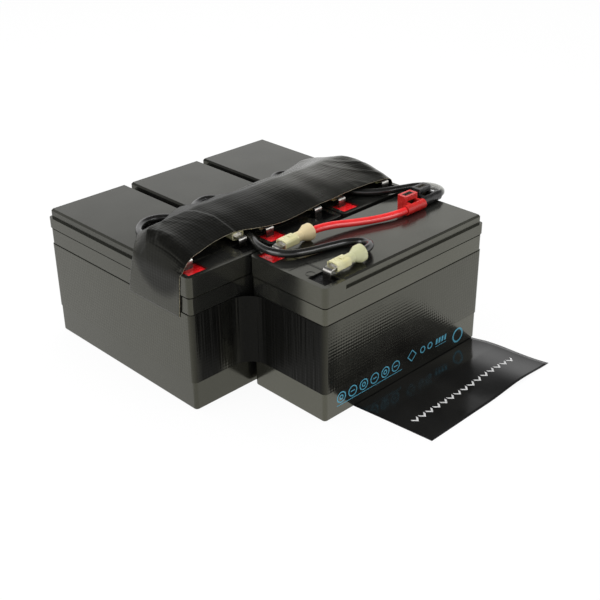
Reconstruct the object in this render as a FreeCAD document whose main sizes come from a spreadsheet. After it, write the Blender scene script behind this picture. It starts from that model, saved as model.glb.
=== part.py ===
import FreeCAD, Part
import math
import os

import Sketcher
from FreeCAD import Placement, Rotation, Vector

# A UPS battery cartridge: four 12 V sealed lead-acid batteries taped into one
# pack, wired in series.  Three batteries (left, middle, right) stand side by
# side with their terminals towards -Y; the front battery stands across their
# terminal ends and is flush with the right one.
# Frame: +Z up, origin on the floor at the middle of the pack's footprint.

doc = FreeCAD.newDocument("battery_cartridge")
sizes = doc.addObject("Spreadsheet::Sheet", "sizes")

DIMENSIONS = [
    # battery case
    ("battery_length", 151.0), ("battery_width", 65.0), ("battery_height", 93.0),
    ("corner_radius", 3.2), ("container_inset", 0.7),
    ("container_wall", 2.5), ("container_floor", 3.0), ("container_base_round", 1.0),
    ("partition_wall", 1.6), ("seam_gap", 1.2), ("seam_depth", 0.9),
    # lid and its cover
    ("cover_rise", 6.0), ("lid_depth", 8.4), ("ledge_inset", 1.7), ("lid_wall", 2.4),
    ("lip_depth", 4.0), ("lip_wall", 2.0), ("lip_clearance", 0.2), ("block_length", 17.6),
    ("cover_gap", 0.3),
    ("cover_wall", 2.0), ("cover_bevel", 1.2), ("cover_corner", 1.6),
    # relief valves under the cover
    ("chimney_outer", 10.0), ("chimney_bore", 5.0), ("chimney_rise", 2.6),
    ("cap_wall", 1.1), ("cap_rise", 3.5), ("cap_clearance", 0.1), ("cap_lift", 0.1),
    # plate groups
    ("cell_clearance", 0.4), ("plate_headroom", 7.6), ("strap_width", 8.0),
    ("strap_height", 4.0),
    # terminals and their sealed wells
    ("well_width", 14.6), ("well_length", 12.7), ("well_edge", 3.3), ("well_depth", 5.5),
    ("seal_recess", 1.2), ("tab_width", 6.35), ("tab_thickness", 0.8),
    ("tab_setback", 12.0), ("tab_rise", 5.4), ("tab_reach", 13.0), ("tab_bend", 1.2),
    ("tab_tilt", 2.0), ("post_diameter", 8.0), ("post_clearance", 0.1),
    # push-on connectors (fastons)
    ("faston_exposure", 5.1), ("sleeve_width", 9.0), ("sleeve_height", 5.6),
    ("sleeve_length", 12.5), ("sleeve_round", 1.8), ("sleeve_taper", 1.1),
    ("waist_diameter", 6.6), ("waist_end", 16.6), ("bell_start", 21.6),
    ("bell_diameter", 11.2), ("bell_wall", 0.8), ("faston_length", 24.6),
    ("mouth_width", 7.6), ("mouth_height", 3.2), ("contact_recess", 0.6),
    ("contact_length", 8.6), ("contact_clearance", 0.1), ("slot_clearance", 0.1),
    ("slot_depth", 8.0), ("barrel_diameter", 4.6), ("wire_seat", 14.6),
    ("wire_diameter", 5.0), ("bore_clearance", 0.1),
    # right-angle connectors on the two leads
    ("flag_sleeve", 6.8), ("flag_sleeve_length", 18.0), ("flag_width", 12.6),
    ("flag_start", 3.6), ("flag_depth", 7.2), ("flag_setback", 3.3), ("flag_height", 10.8),
    ("flag_round", 0.8), ("flag_mouth_width", 8.2), ("flag_mouth_depth", 3.8),
    ("flag_mouth_drop", 8.0), ("window_width", 8.0), ("window_height", 3.4),
    ("window_drop", 3.4), ("flag_socket_depth", 7.0), ("flag_barrel_length", 7.0),
    ("flag_web_width", 4.0), ("flag_web_thickness", 1.0),
    ("red_flag_inset", 38.3), ("red_flag_back", 28.7), ("black_flag_inset", 1.9),
    ("black_flag_back", 26.5),
    # pack
    ("row_gap", 1.6), ("front_gap", 1.4), ("rest_gap", 0.05),
    # tape round the pack
    ("wrap_low", 20.0), ("wrap_height", 47.5), ("wrap_thickness", 0.4),
    ("wrap_clearance", 0.15), ("wrap_hollow", 15.0),
    # tape over the terminals
    ("strip_thickness", 0.45), ("strip_clearance", 0.1), ("strip_front", 11.0),
    ("strip_ease", 4.0), ("strip_cross_rise", 1.4), ("strip_back", 84.0),
    ("strip_front_rise", 8.9), ("strip_crest_rise", 12.8), ("strip_crest", 40.5), ("strip_sag", 1.2),
    ("strip_wire_gap", 0.6), ("strip_shoulder", 4.0), ("strip_left_back", 63.0),
    ("strip_left_tail", 57.0), ("strip_right_tail", 60.0), ("strip_tail_gap", 0.3),
    # pull tab
    ("film_thickness", 0.25), ("film_width", 120.8), ("film_reach", 58.0),
    ("film_under", 165.0), ("film_margin", 74.4), ("film_left_skew", 5.1),
    ("film_right_skew", 9.3),
]

# Heights that follow from the sizes above.
DERIVED = [
    ("ledge_height", "=battery_height - cover_rise"),
    ("container_height", "=ledge_height - lid_depth"),
    ("plate_height",
     "=container_height - container_floor - lip_depth - strap_height - plate_headroom"),
]

for row, (alias, value) in enumerate(DIMENSIONS + DERIVED, start=1):
    sizes.set("A%d" % row, alias)
    sizes.set("B%d" % row, str(value))
    sizes.setAlias("B%d" % row, alias)
doc.recompute()


def size(alias):
    """The value of one cell of the sheet."""
    return float(getattr(sizes, alias))


def bound(text):
    """Turn plain names in a formula into references to the sheet."""
    words = sorted((alias for alias, _ in DIMENSIONS + DERIVED), key=len, reverse=True)
    out = ""
    position = 0
    while position < len(text):
        word = next((w for w in words if text.startswith(w, position)), None)
        if word:
            out += "sizes." + word
            position += len(word)
        else:
            out += text[position]
            position += 1
    return out


# ---------------------------------------------------------------- helpers

def new_body(name):
    body = doc.addObject("PartDesign::Body", name)
    body.Label = name
    return body


def sketch_on(body, name, plane="XY_Plane", height=None):
    """A sketch on one of the body's own origin planes, moved out along its normal."""
    support = next(f for f in body.Origin.OriginFeatures if f.Role == plane)
    sketch = body.newObject("Sketcher::SketchObject", name)
    sketch.AttachmentSupport = [(support, "")]
    sketch.MapMode = "FlatFace"
    if height:
        sketch.setExpression("AttachmentOffset.Base.z", bound(height))
    return sketch


def name_last(sketch, expression):
    """Bind the constraint that was added last."""
    index = sketch.ConstraintCount - 1
    label = "dim%d" % index
    sketch.renameConstraint(index, label)
    sketch.setExpression("Constraints." + label, bound(expression))


def fix_point(sketch, line, end, across, along):
    """Tie one end of a line to the sketch's origin by two bound distances."""
    point = sketch.getPoint(line, end)
    sketch.addConstraint(Sketcher.Constraint("DistanceX", -1, 1, line, end, point.x))
    name_last(sketch, across)
    sketch.addConstraint(Sketcher.Constraint("DistanceY", -1, 1, line, end, point.y))
    name_last(sketch, along)


def value_of(expression):
    """What a formula in plain names comes to, worked out by the sheet itself."""
    probe.set("A1", "=" + bound(expression).replace("sizes.", "<<sizes>>."))
    probe.recompute()
    return float(probe.get("A1"))


probe = doc.addObject("Spreadsheet::Sheet", "probe")


def polygon(sketch, corners):
    """A closed outline whose every corner is bound to the sheet."""
    points = [Vector(value_of(a), value_of(b), 0) for a, b in corners]
    first = sketch.GeometryCount
    count = len(points)
    for i in range(count):
        sketch.addGeometry(Part.LineSegment(points[i], points[(i + 1) % count]), False)
    for i in range(count):
        sketch.addConstraint(
            Sketcher.Constraint("Coincident", first + i, 2, first + (i + 1) % count, 1))
    for i, (across, along) in enumerate(corners):
        fix_point(sketch, first + i, 1, across, along)


def rectangle(sketch, left, low, right, high):
    polygon(sketch, [(left, low), (right, low), (right, high), (left, high)])


def circle(sketch, across, along, diameter):
    centre = Vector(value_of(across), value_of(along), 0)
    index = sketch.addGeometry(
        Part.Circle(centre, Vector(0, 0, 1), value_of(diameter) / 2), False)
    sketch.addConstraint(Sketcher.Constraint("DistanceX", -1, 1, index, 3, centre.x))
    name_last(sketch, across)
    sketch.addConstraint(Sketcher.Constraint("DistanceY", -1, 1, index, 3, centre.y))
    name_last(sketch, along)
    sketch.addConstraint(Sketcher.Constraint("Diameter", index, value_of(diameter)))
    name_last(sketch, diameter)


def pad(body, sketch, length, downwards=False, midplane=False):
    feature = body.newObject("PartDesign::Pad", sketch.Name + "_pad")
    feature.Profile = sketch
    feature.setExpression("Length", bound(length))
    feature.Reversed = downwards
    feature.Midplane = midplane
    return feature


def pocket(body, sketch, length, upwards=False, midplane=False):
    feature = body.newObject("PartDesign::Pocket", sketch.Name + "_cut")
    feature.Profile = sketch
    feature.setExpression("Length", bound(length))
    feature.Reversed = upwards
    feature.Midplane = midplane
    return feature


def edges_where(feature, test):
    """Names of the edges of a feature whose middle and direction pass a test."""
    doc.recompute()
    names = []
    for index, edge in enumerate(feature.Shape.Edges, start=1):
        if not hasattr(edge.Curve, "Direction"):
            continue
        middle = edge.valueAt((edge.FirstParameter + edge.LastParameter) / 2)
        if test(middle, edge.Curve.Direction):
            names.append("Edge%d" % index)
    return names


def dress(body, kind, feature, edges, amount):
    """A fillet or chamfer on named edges, its size bound to the sheet."""
    result = body.newObject("PartDesign::" + kind, feature.Name + "_" + kind.lower())
    result.Base = (feature, edges)
    result.setExpression("Radius" if kind == "Fillet" else "Size", bound(amount))
    return result


def near(value, target, slack=0.02):
    return abs(value - target) < slack


# ------------------------------------------------------- one battery's pieces
# Each battery is drawn in its own frame: width along X, length along Y with the
# terminals at the low end, underside at Z = 0.

# The six cells stand in two columns of three.
CELL_WALL = "(container_inset + container_wall)"
CELL_WIDTH = "((battery_width - 2 * " + CELL_WALL + " - partition_wall) / 2)"
CELL_LENGTH = "((battery_length - 2 * " + CELL_WALL + " - 2 * partition_wall) / 3)"
CELL_PITCH = "(" + CELL_LENGTH + " + partition_wall)"
VALVE_COLUMNS = ("(" + CELL_WALL + " + " + CELL_WIDTH + " / 2)",
                 "(battery_width - " + CELL_WALL + " - " + CELL_WIDTH + " / 2)")
VALVE_START = "(" + CELL_WALL + " + " + CELL_LENGTH + " / 2)"


def make_container(name):
    """Moulded ABS box, open at the top, with partitions between its six cells."""
    body = new_body(name)
    outline = sketch_on(body, name + "_outline")
    rectangle(outline, "container_inset", "container_inset",
              "battery_width - container_inset", "battery_length - container_inset")
    block = pad(body, outline, "container_height")
    upright = edges_where(block, lambda middle, way: near(abs(way.z), 1))
    rounded = dress(body, "Fillet", block, upright, "corner_radius - container_inset")
    doc.recompute()
    foot = ["Edge%d" % i for i, edge in enumerate(rounded.Shape.Edges, start=1)
            if near(edge.BoundBox.ZMax, 0)]
    rounded = dress(body, "Fillet", rounded, foot, "container_base_round")
    well = sketch_on(body, name + "_cell", height="container_floor")
    for left in (CELL_WALL, "(battery_width + partition_wall) / 2"):
        rectangle(well, left, CELL_WALL, left + " + " + CELL_WIDTH,
                  CELL_WALL + " + " + CELL_LENGTH)
    hollow = pocket(body, well, "container_height", upwards=True)
    cells = body.newObject("PartDesign::LinearPattern", name + "_cells")
    cells.Originals = [hollow]
    cells.Direction = (well, ["V_Axis"])
    cells.setExpression("Length", bound("2 * " + CELL_PITCH))
    cells.Occurrences = 3
    body.Tip = cells
    mouth = sketch_on(body, name + "_mouth", height="container_height")
    rectangle(mouth, CELL_WALL, CELL_WALL,
              "battery_width - " + CELL_WALL, "battery_length - " + CELL_WALL)
    body.Tip = pocket(body, mouth, "lip_depth + lip_clearance")
    return body


def make_lid(name):
    """Moulded lid: skirt, full-height terminal block with two wells, six vent necks."""
    body = new_body(name)
    seam = "(container_height + seam_gap)"
    skirt = sketch_on(body, name + "_skirt", height=seam)
    rectangle(skirt, "0", "0", "battery_width", "battery_length")
    pad(body, skirt, "ledge_height - " + seam)
    block = sketch_on(body, name + "_block", height="ledge_height")
    rectangle(block, "0", "0", "battery_width", "block_length")
    raised = pad(body, block, "battery_height - ledge_height")
    width, length = size("battery_width"), size("battery_length")
    corners = edges_where(raised, lambda middle, way: (
        near(abs(way.z), 1) and (near(middle.x, 0) or near(middle.x, width))
        and (near(middle.y, 0) or near(middle.y, length))))
    dress(body, "Fillet", raised, corners, "corner_radius")

    groove = "(container_inset + seam_depth)"
    neck = sketch_on(body, name + "_neck", height=seam)
    rectangle(neck, groove, groove, "battery_width - " + groove, "battery_length - " + groove)
    pad(body, neck, "seam_gap", downwards=True)
    lip_edge = "(container_inset + container_wall + lip_clearance)"
    lip = sketch_on(body, name + "_lip", height="container_height")
    rectangle(lip, lip_edge, lip_edge,
              "battery_width - " + lip_edge, "battery_length - " + lip_edge)
    pad(body, lip, "lip_depth", downwards=True)
    inside = "(container_inset + container_wall + lip_clearance + lip_wall)"
    hollow = sketch_on(body, name + "_hollow", height="container_height - lip_depth")
    rectangle(hollow, inside, inside,
              "battery_width - " + inside, "battery_length - " + inside)
    pocket(body, hollow, "ledge_height - lid_wall - container_height + lip_depth", upwards=True)

    wells = sketch_on(body, name + "_wells", height="battery_height")
    for start in ("well_edge", "(battery_width - well_edge - well_width)"):
        rectangle(wells, start, "well_edge", start + " + well_width", "well_edge + well_length")
    pocket(body, wells, "well_depth")
    posts = sketch_on(body, name + "_posts", height="battery_height")
    for middle in ("well_edge + well_width / 2", "battery_width - well_edge - well_width / 2"):
        circle(posts, middle, "well_edge + well_length / 2", "post_diameter + 2 * post_clearance")
    pocket(body, posts, "battery_height - ledge_height + 2 * lid_wall")

    chimney = sketch_on(body, name + "_chimney", height="ledge_height")
    for column in VALVE_COLUMNS:
        circle(chimney, column, VALVE_START, "chimney_outer")
    tube = pad(body, chimney, "chimney_rise")
    bore = sketch_on(body, name + "_bore", height="ledge_height + chimney_rise")
    for column in VALVE_COLUMNS:
        circle(bore, column, VALVE_START, "chimney_bore")
    hole = pocket(body, bore, "chimney_rise + 2 * lid_wall")
    vents = body.newObject("PartDesign::LinearPattern", name + "_vents")
    vents.Originals = [tube, hole]
    vents.Direction = (chimney, ["V_Axis"])
    vents.setExpression("Length", bound("2 * " + CELL_PITCH))
    vents.Occurrences = 3
    body.Tip = vents
    return body


def make_cover(name):
    """Moulded cover plate welded on the lid over the valves, bevelled on three sides."""
    body = new_body(name)
    start = "(block_length + cover_gap)"
    outline = sketch_on(body, name + "_outline", height="ledge_height")
    rectangle(outline, "ledge_inset", start,
              "battery_width - ledge_inset", "battery_length - ledge_inset")
    plate = pad(body, outline, "battery_height - ledge_height")
    far = size("battery_length") - size("ledge_inset")
    corners = edges_where(plate, lambda middle, way: near(abs(way.z), 1) and near(middle.y, far))
    plate = dress(body, "Fillet", plate, corners, "cover_corner")
    doc.recompute()
    top = size("battery_height")
    rim = ["Edge%d" % i for i, edge in enumerate(plate.Shape.Edges, start=1)
           if near(edge.BoundBox.ZMin, top)
           and edge.BoundBox.YMax > size("block_length") + size("cover_gap") + 0.1]
    dress(body, "Chamfer", plate, rim, "cover_bevel")
    hollow = sketch_on(body, name + "_hollow", height="ledge_height")
    rectangle(hollow, "ledge_inset + cover_wall", "block_length",
              "battery_width - ledge_inset - cover_wall",
              "battery_length - ledge_inset - cover_wall")
    body.Tip = pocket(body, hollow, "battery_height - ledge_height - cover_wall", upwards=True)
    return body


def make_terminal(name):
    """Tinned brass tab bent from a post: rises from its well and turns inwards."""
    body = new_body(name)
    profile = sketch_on(body, name + "_profile", plane="YZ_Plane")
    foot = "(battery_height - well_depth)"
    tilt = math.radians(size("tab_tilt"))
    thick, bend = size("tab_thickness"), size("tab_bend")
    outer = bend + thick
    face, low = size("tab_setback"), value_of(foot)
    top = size("battery_height") + size("tab_rise") - outer
    centre = Vector(face + outer, top, 0)
    normal = Vector(-math.sin(tilt), math.cos(tilt), 0)
    along = Vector(math.cos(tilt), math.sin(tilt), 0)
    run = (size("tab_reach") - outer) / math.cos(tilt)
    turn = math.pi / 2 + tilt
    over, under = centre + normal * outer, centre + normal * bend
    lines = [
        Part.LineSegment(Vector(face, low, 0), Vector(face, top, 0)),
        Part.ArcOfCircle(Part.Circle(centre, Vector(0, 0, 1), outer), turn, math.pi),
        Part.LineSegment(over, over + along * run),
        Part.LineSegment(over + along * run, under + along * run),
        Part.LineSegment(under + along * run, under),
        Part.ArcOfCircle(Part.Circle(centre, Vector(0, 0, 1), bend), turn, math.pi),
        Part.LineSegment(Vector(face + thick, top, 0), Vector(face + thick, low, 0)),
        Part.LineSegment(Vector(face + thick, low, 0), Vector(face, low, 0)),
    ]
    front, round_out, upper, tip, lower, round_in, back, base = range(8)
    for line in lines:
        profile.addGeometry(line, False)
    for one, one_end, other, other_end in (
            (front, 2, round_out, 2), (round_out, 1, upper, 1),
            (lower, 2, round_in, 1), (round_in, 2, back, 1)):
        profile.addConstraint(Sketcher.Constraint("Tangent", one, one_end, other, other_end))
    for one, other in ((upper, tip), (tip, lower), (back, base), (base, front)):
        profile.addConstraint(Sketcher.Constraint("Coincident", one, 2, other, 1))
    profile.addConstraint(Sketcher.Constraint("Vertical", front))
    profile.addConstraint(Sketcher.Constraint("Vertical", back))
    profile.addConstraint(Sketcher.Constraint("Horizontal", base))
    profile.addConstraint(Sketcher.Constraint("Parallel", upper, lower))
    profile.addConstraint(Sketcher.Constraint("Perpendicular", upper, tip))
    profile.addConstraint(Sketcher.Constraint("Angle", -1, 1, upper, 1, tilt))
    name_last(profile, "tab_tilt * 1 deg")
    profile.addConstraint(Sketcher.Constraint("Radius", round_out, outer))
    name_last(profile, "tab_bend + tab_thickness")
    profile.addConstraint(Sketcher.Constraint("Radius", round_in, bend))
    name_last(profile, "tab_bend")
    profile.addConstraint(Sketcher.Constraint("Distance", tip, thick))
    name_last(profile, "tab_thickness")
    profile.addConstraint(Sketcher.Constraint("Distance", base, thick))
    name_last(profile, "tab_thickness")
    fix_point(profile, front, 1, "tab_setback", foot)
    profile.addConstraint(Sketcher.Constraint("DistanceY", -1, 1, front, 2, top))
    name_last(profile, "battery_height + tab_rise - tab_bend - tab_thickness")
    profile.addConstraint(Sketcher.Constraint("DistanceX", front, 1, upper, 2,
                                              (over + along * run).x - face))
    name_last(profile, "tab_reach")
    pad(body, profile, "tab_width", midplane=True)
    post = sketch_on(body, name + "_post", height=foot)
    circle(post, "0", "well_edge + well_length / 2", "post_diameter")
    body.Tip = pad(body, post, foot + " - container_floor - plate_height - strap_height"
                   " - rest_gap", downwards=True)
    return body


def part_box(name, across, along, up, width, length, height):
    """A box whose corner and sides are bound to the sheet."""
    box = doc.addObject("Part::Box", name)
    for prop, text in (("Placement.Base.x", across), ("Placement.Base.y", along),
                       ("Placement.Base.z", up), ("Length", width), ("Width", length),
                       ("Height", height)):
        box.setExpression(prop, bound(text))
    return box


def make_seal(name, start):
    """Cast epoxy that fills a well round its tab, coloured for the polarity."""
    fill = part_box(name + "_fill", start, "well_edge", "battery_height - well_depth",
                    "well_width", "well_length", "well_depth - seal_recess")
    slot = part_box(name + "_slot", start + " + (well_width - tab_width) / 2", "tab_setback",
                    "battery_height - well_depth", "tab_width", "tab_thickness", "well_depth")
    seal = doc.addObject("Part::Cut", name)
    seal.Base = fill
    seal.Tool = slot
    seal.Label = name
    return seal


def cylinder_at(name, across, along, up, diameter, height):
    tube = doc.addObject("Part::Cylinder", name)
    for prop, text in (("Placement.Base.x", across), ("Placement.Base.y", along),
                       ("Placement.Base.z", up), ("Radius", "(" + diameter + ") / 2"),
                       ("Height", height)):
        tube.setExpression(prop, bound(text))
    return tube


def make_caps(name):
    """Six rubber cups that close the vent necks and lift under gas pressure."""
    caps = []
    for i in range(6):
        across = VALVE_COLUMNS[i % 2]
        along = "%s + %d * %s" % (VALVE_START, i // 2, CELL_PITCH)
        cup = "%s_%d" % (name, i + 1)
        outside = cylinder_at(cup + "_outside", across, along, "ledge_height + cap_lift",
                              "chimney_outer + 2 * cap_clearance + 2 * cap_wall",
                              "cap_rise - cap_lift")
        inside = cylinder_at(cup + "_inside", across, along, "ledge_height",
                             "chimney_outer + 2 * cap_clearance", "chimney_rise + cap_clearance")
        cap = doc.addObject("Part::Cut", cup)
        cap.Base = outside
        cap.Tool = inside
        caps.append(cap)
    group = doc.addObject("Part::Compound", name)
    group.Links = caps
    group.Label = name
    return group


def make_cells(name):
    """Six groups of lead plates and glass mat, each under its two cast straps."""
    groups = []
    for i in range(6):
        right = i % 2
        along = "%s + cell_clearance + %d * %s" % (CELL_WALL, i // 2, CELL_PITCH)
        deep = CELL_LENGTH + " - 2 * cell_clearance"
        across = ("(battery_width + partition_wall) / 2" if right else CELL_WALL)
        group_name = "%s_%d" % (name, i + 1)
        solids = [part_box(group_name + "_plates", across + " + cell_clearance", along,
                           "container_floor", CELL_WIDTH + " - 2 * cell_clearance", deep,
                           "plate_height")]
        outer = "well_edge + well_width / 2"
        inner = "battery_width / 2 - strap_width"
        for side, middle in enumerate((outer, inner), start=1):
            if right:
                middle = "battery_width - (" + middle + ")"
            solids.append(part_box("%s_strap%d" % (group_name, side),
                                   middle + " - strap_width / 2", along,
                                   "container_floor + plate_height", "strap_width", deep,
                                   "strap_height"))
        group = doc.addObject("Part::MultiFuse", group_name)
        group.Shapes = solids
        groups.append(group)
    pack = doc.addObject("Part::Compound", name)
    pack.Links = groups
    pack.Label = name
    return pack


# ------------------------------------------------------------ connectors

def make_faston(name):
    """Nylon sleeve of a push-on connector; X runs from its mouth to the wire."""
    body = new_body(name)
    front = sketch_on(body, name + "_front", plane="YZ_Plane")
    rectangle(front, "-sleeve_width / 2", "-sleeve_height / 2",
              "sleeve_width / 2", "sleeve_height / 2")
    sleeve = pad(body, front, "sleeve_length")
    long_edges = edges_where(sleeve, lambda middle, way: near(abs(way.x), 1))
    sleeve = dress(body, "Fillet", sleeve, long_edges, "sleeve_round")
    doc.recompute()
    end = size("sleeve_length")
    rear = ["Edge%d" % i for i, edge in enumerate(sleeve.Shape.Edges, start=1)
            if near(edge.BoundBox.XMin, end)]
    dress(body, "Chamfer", sleeve, rear, "sleeve_taper")
    profile = sketch_on(body, name + "_bell", plane="XZ_Plane")
    bore = "(wire_diameter / 2 + bore_clearance)"
    inner = "(bell_diameter / 2 - bell_wall)"
    polygon(profile, [
        ("sleeve_length / 2", "0"), ("wire_seat", "0"), ("wire_seat", bore),
        ("waist_end", bore), ("bell_start", inner), ("faston_length", inner),
        ("faston_length", "bell_diameter / 2"), ("bell_start", "bell_diameter / 2"),
        ("waist_end", "waist_diameter / 2"), ("sleeve_length / 2", "waist_diameter / 2")])
    turned = body.newObject("PartDesign::Revolution", name + "_turned")
    turned.Profile = profile
    turned.ReferenceAxis = (profile, ["H_Axis"])
    turned.Angle = 360
    mouth = sketch_on(body, name + "_mouth", plane="YZ_Plane")
    rectangle(mouth, "-mouth_width / 2", "-mouth_height / 2",
              "mouth_width / 2", "mouth_height / 2")
    pocket(body, mouth, "contact_recess + contact_length + contact_clearance", upwards=True)
    barrel = sketch_on(body, name + "_barrel", plane="YZ_Plane")
    circle(barrel, "0", "0", "barrel_diameter + 2 * contact_clearance")
    body.Tip = pocket(body, barrel, "wire_seat + bore_clearance", upwards=True)
    return body


def make_contact(name):
    """Tinned receptacle that grips the tab, with its barrel crimped on the wire."""
    body = new_body(name)
    shell = sketch_on(body, name + "_shell", plane="YZ_Plane", height="contact_recess")
    half = "(mouth_width / 2 - contact_clearance)"
    tall = "(mouth_height / 2 - contact_clearance)"
    rectangle(shell, "-" + half, "-" + tall, half, tall)
    pad(body, shell, "contact_length")
    slot = sketch_on(body, name + "_slot", plane="YZ_Plane", height="contact_recess")
    wide = "(tab_width / 2 + slot_clearance)"
    thin = "(tab_thickness / 2 + slot_clearance)"
    rectangle(slot, "-" + wide, "-" + thin, wide, thin)
    pocket(body, slot, "slot_depth", upwards=True)
    barrel = sketch_on(body, name + "_barrel", plane="YZ_Plane",
                       height="contact_recess + contact_length")
    circle(barrel, "0", "0", "barrel_diameter")
    body.Tip = pad(body, barrel, "wire_seat - contact_recess - contact_length")
    return body


# The right-angle connector: the wire runs in along X through a round sleeve,
# and the receptacle stands behind it with its mouth upwards.
FLAG_BACK = "(flag_setback + flag_depth)"
FLAG_LOW = "(-flag_sleeve / 2)"
FLAG_TOP = "(flag_height - flag_sleeve / 2)"
FLAG_MIDDLE = "(flag_start + flag_width / 2)"


def make_flag(name):
    """Moulded nylon housing of a right-angle connector, with a latch window."""
    body = new_body(name)
    block = sketch_on(body, name + "_block", height=FLAG_LOW)
    rectangle(block, "flag_start", "flag_setback", "flag_start + flag_width", FLAG_BACK)
    solid = pad(body, block, "flag_height")
    upright = edges_where(solid, lambda middle, way: near(abs(way.z), 1))
    dress(body, "Fillet", solid, upright, "flag_round")
    sleeve = sketch_on(body, name + "_sleeve", plane="YZ_Plane")
    circle(sleeve, "0", "0", "flag_sleeve")
    pad(body, sleeve, "flag_sleeve_length")
    bridge = sketch_on(body, name + "_bridge", height=FLAG_LOW)
    rectangle(bridge, "flag_start", "0", "flag_start + flag_width",
              "flag_setback + flag_round")
    pad(body, bridge, "flag_sleeve")
    mouth = sketch_on(body, name + "_mouth", height=FLAG_TOP)
    middle = "(flag_setback + flag_depth / 2)"
    rectangle(mouth, FLAG_MIDDLE + " - flag_mouth_width / 2", middle + " - flag_mouth_depth / 2",
              FLAG_MIDDLE + " + flag_mouth_width / 2", middle + " + flag_mouth_depth / 2")
    pocket(body, mouth, "flag_mouth_drop")
    window = sketch_on(body, name + "_window", plane="XZ_Plane")
    top = "(" + FLAG_TOP + " - window_drop)"
    rectangle(window, FLAG_MIDDLE + " - window_width / 2", top + " - window_height",
              FLAG_MIDDLE + " + window_width / 2", top)
    pocket(body, window, "flag_setback + flag_depth / 2")
    socket = sketch_on(body, name + "_socket", plane="YZ_Plane")
    circle(socket, "0", "0", "wire_diameter + 2 * bore_clearance")
    pocket(body, socket, "flag_socket_depth", upwards=True)
    barrel = sketch_on(body, name + "_barrel", plane="YZ_Plane")
    circle(barrel, "0", "0", "barrel_diameter + 2 * contact_clearance")
    pocket(body, barrel, "flag_socket_depth + flag_barrel_length + contact_clearance",
           upwards=True)
    web = sketch_on(body, name + "_web",
                    height="-flag_web_thickness / 2 - contact_clearance")
    rectangle(web, FLAG_MIDDLE + " - flag_web_width / 2 - contact_clearance", "0",
              FLAG_MIDDLE + " + flag_web_width / 2 + contact_clearance", middle)
    body.Tip = pocket(body, web, "flag_web_thickness + 2 * contact_clearance", upwards=True)
    return body


def make_flag_contact(name):
    """Receptacle of the right-angle connector, its barrel crimped on the wire."""
    body = new_body(name)
    middle = "(flag_setback + flag_depth / 2)"
    low = "(" + FLAG_TOP + " - flag_mouth_drop)"
    shell = sketch_on(body, name + "_shell", height=low)
    half = "(flag_mouth_width / 2 - contact_clearance)"
    deep = "(flag_mouth_depth / 2 - contact_clearance)"
    rectangle(shell, FLAG_MIDDLE + " - " + half, middle + " - " + deep,
              FLAG_MIDDLE + " + " + half, middle + " + " + deep)
    pad(body, shell, "slot_depth")
    slot = sketch_on(body, name + "_slot", height=low + " + slot_depth")
    rectangle(slot, FLAG_MIDDLE + " - tab_width / 2 - slot_clearance",
              middle + " - tab_thickness / 2 - slot_clearance",
              FLAG_MIDDLE + " + tab_width / 2 + slot_clearance",
              middle + " + tab_thickness / 2 + slot_clearance")
    pocket(body, slot, "slot_depth - lid_wall / 2")
    web = sketch_on(body, name + "_web", height="-flag_web_thickness / 2")
    rectangle(web, FLAG_MIDDLE + " - flag_web_width / 2", "0",
              FLAG_MIDDLE + " + flag_web_width / 2", middle + " - " + deep + " / 2")
    pad(body, web, "flag_web_thickness")
    barrel = sketch_on(body, name + "_barrel", plane="YZ_Plane", height="flag_socket_depth")
    circle(barrel, "0", "0", "barrel_diameter")
    body.Tip = pad(body, barrel, "flag_barrel_length")
    return body


# ------------------------------------------------------------ tapes and tab

ROW_FRONT = "((battery_width + front_gap - battery_length) / 2)"
PACK_HALF = "(1.5 * battery_width + row_gap)"


def make_wrap(name):
    """Woven adhesive tape, one band drawn tight round all four batteries."""
    body = new_body(name)
    right = "(2 * " + PACK_HALF + ")"
    depth = "(battery_length + front_gap + battery_width)"
    step = "(" + right + " - battery_length)"
    notch = "(battery_width + front_gap)"

    def outline(sketch, offset):
        """The pack's plan, moved inwards by an offset; its origin is the pack's corner."""
        polygon(sketch, [
            (step + " + " + offset, offset), (right + " - " + offset, offset),
            (right + " - " + offset, depth + " - " + offset),
            (offset, depth + " - " + offset), (offset, notch + " + " + offset),
            (step + " + " + offset, notch + " + " + offset)])

    outer = "(container_inset - wrap_clearance - wrap_thickness)"
    inner = "(container_inset - wrap_clearance)"
    outside = sketch_on(body, name + "_outside", height="wrap_low")
    outline(outside, outer)
    band = pad(body, outside, "wrap_height")
    inside = sketch_on(body, name + "_inside", height="wrap_low")
    outline(inside, inner)
    band = pocket(body, inside, "wrap_height", upwards=True)
    for gap, hollow_extra, round_less in ((outer, "0", "0"), (inner, "1", "1")):
        edge = value_of(gap)
        hollow_x = value_of(step) + edge
        hollow_y = value_of(notch) + edge

        def is_hollow(middle, way):
            return (near(abs(way.z), 1) and near(middle.x, hollow_x)
                    and near(middle.y, hollow_y))

        def is_corner(middle, way):
            on_x = any(near(middle.x, v) for v in (edge, value_of(right) - edge, hollow_x))
            on_y = any(near(middle.y, v) for v in (edge, value_of(depth) - edge, hollow_y))
            return near(abs(way.z), 1) and on_x and on_y and not is_hollow(middle, way)

        extra = " + %s * wrap_thickness" % hollow_extra
        less = " - %s * wrap_thickness" % round_less
        hollow = edges_where(band, is_hollow)
        band = dress(body, "Fillet", band, hollow, "wrap_hollow" + extra)
        band.Label = name + "_hollow_" + hollow_extra
        corners = edges_where(band, is_corner)
        band = dress(body, "Fillet", band, corners, "corner_radius" + less)
    body.Tip = band
    return body


def make_pull_tab(name):
    """Glossy plastic film stuck under the pack, its free end out on the floor."""
    body = new_body(name)
    outline = sketch_on(body, name + "_outline")
    polygon(outline, [
        ("film_left_skew", "0"), ("film_width + film_right_skew", "0"),
        ("film_width", "film_reach"), ("film_width", "film_reach + film_under"),
        ("0", "film_reach + film_under"), ("0", "film_reach")])
    body.Tip = pad(body, outline, "film_thickness")
    return body


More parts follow.
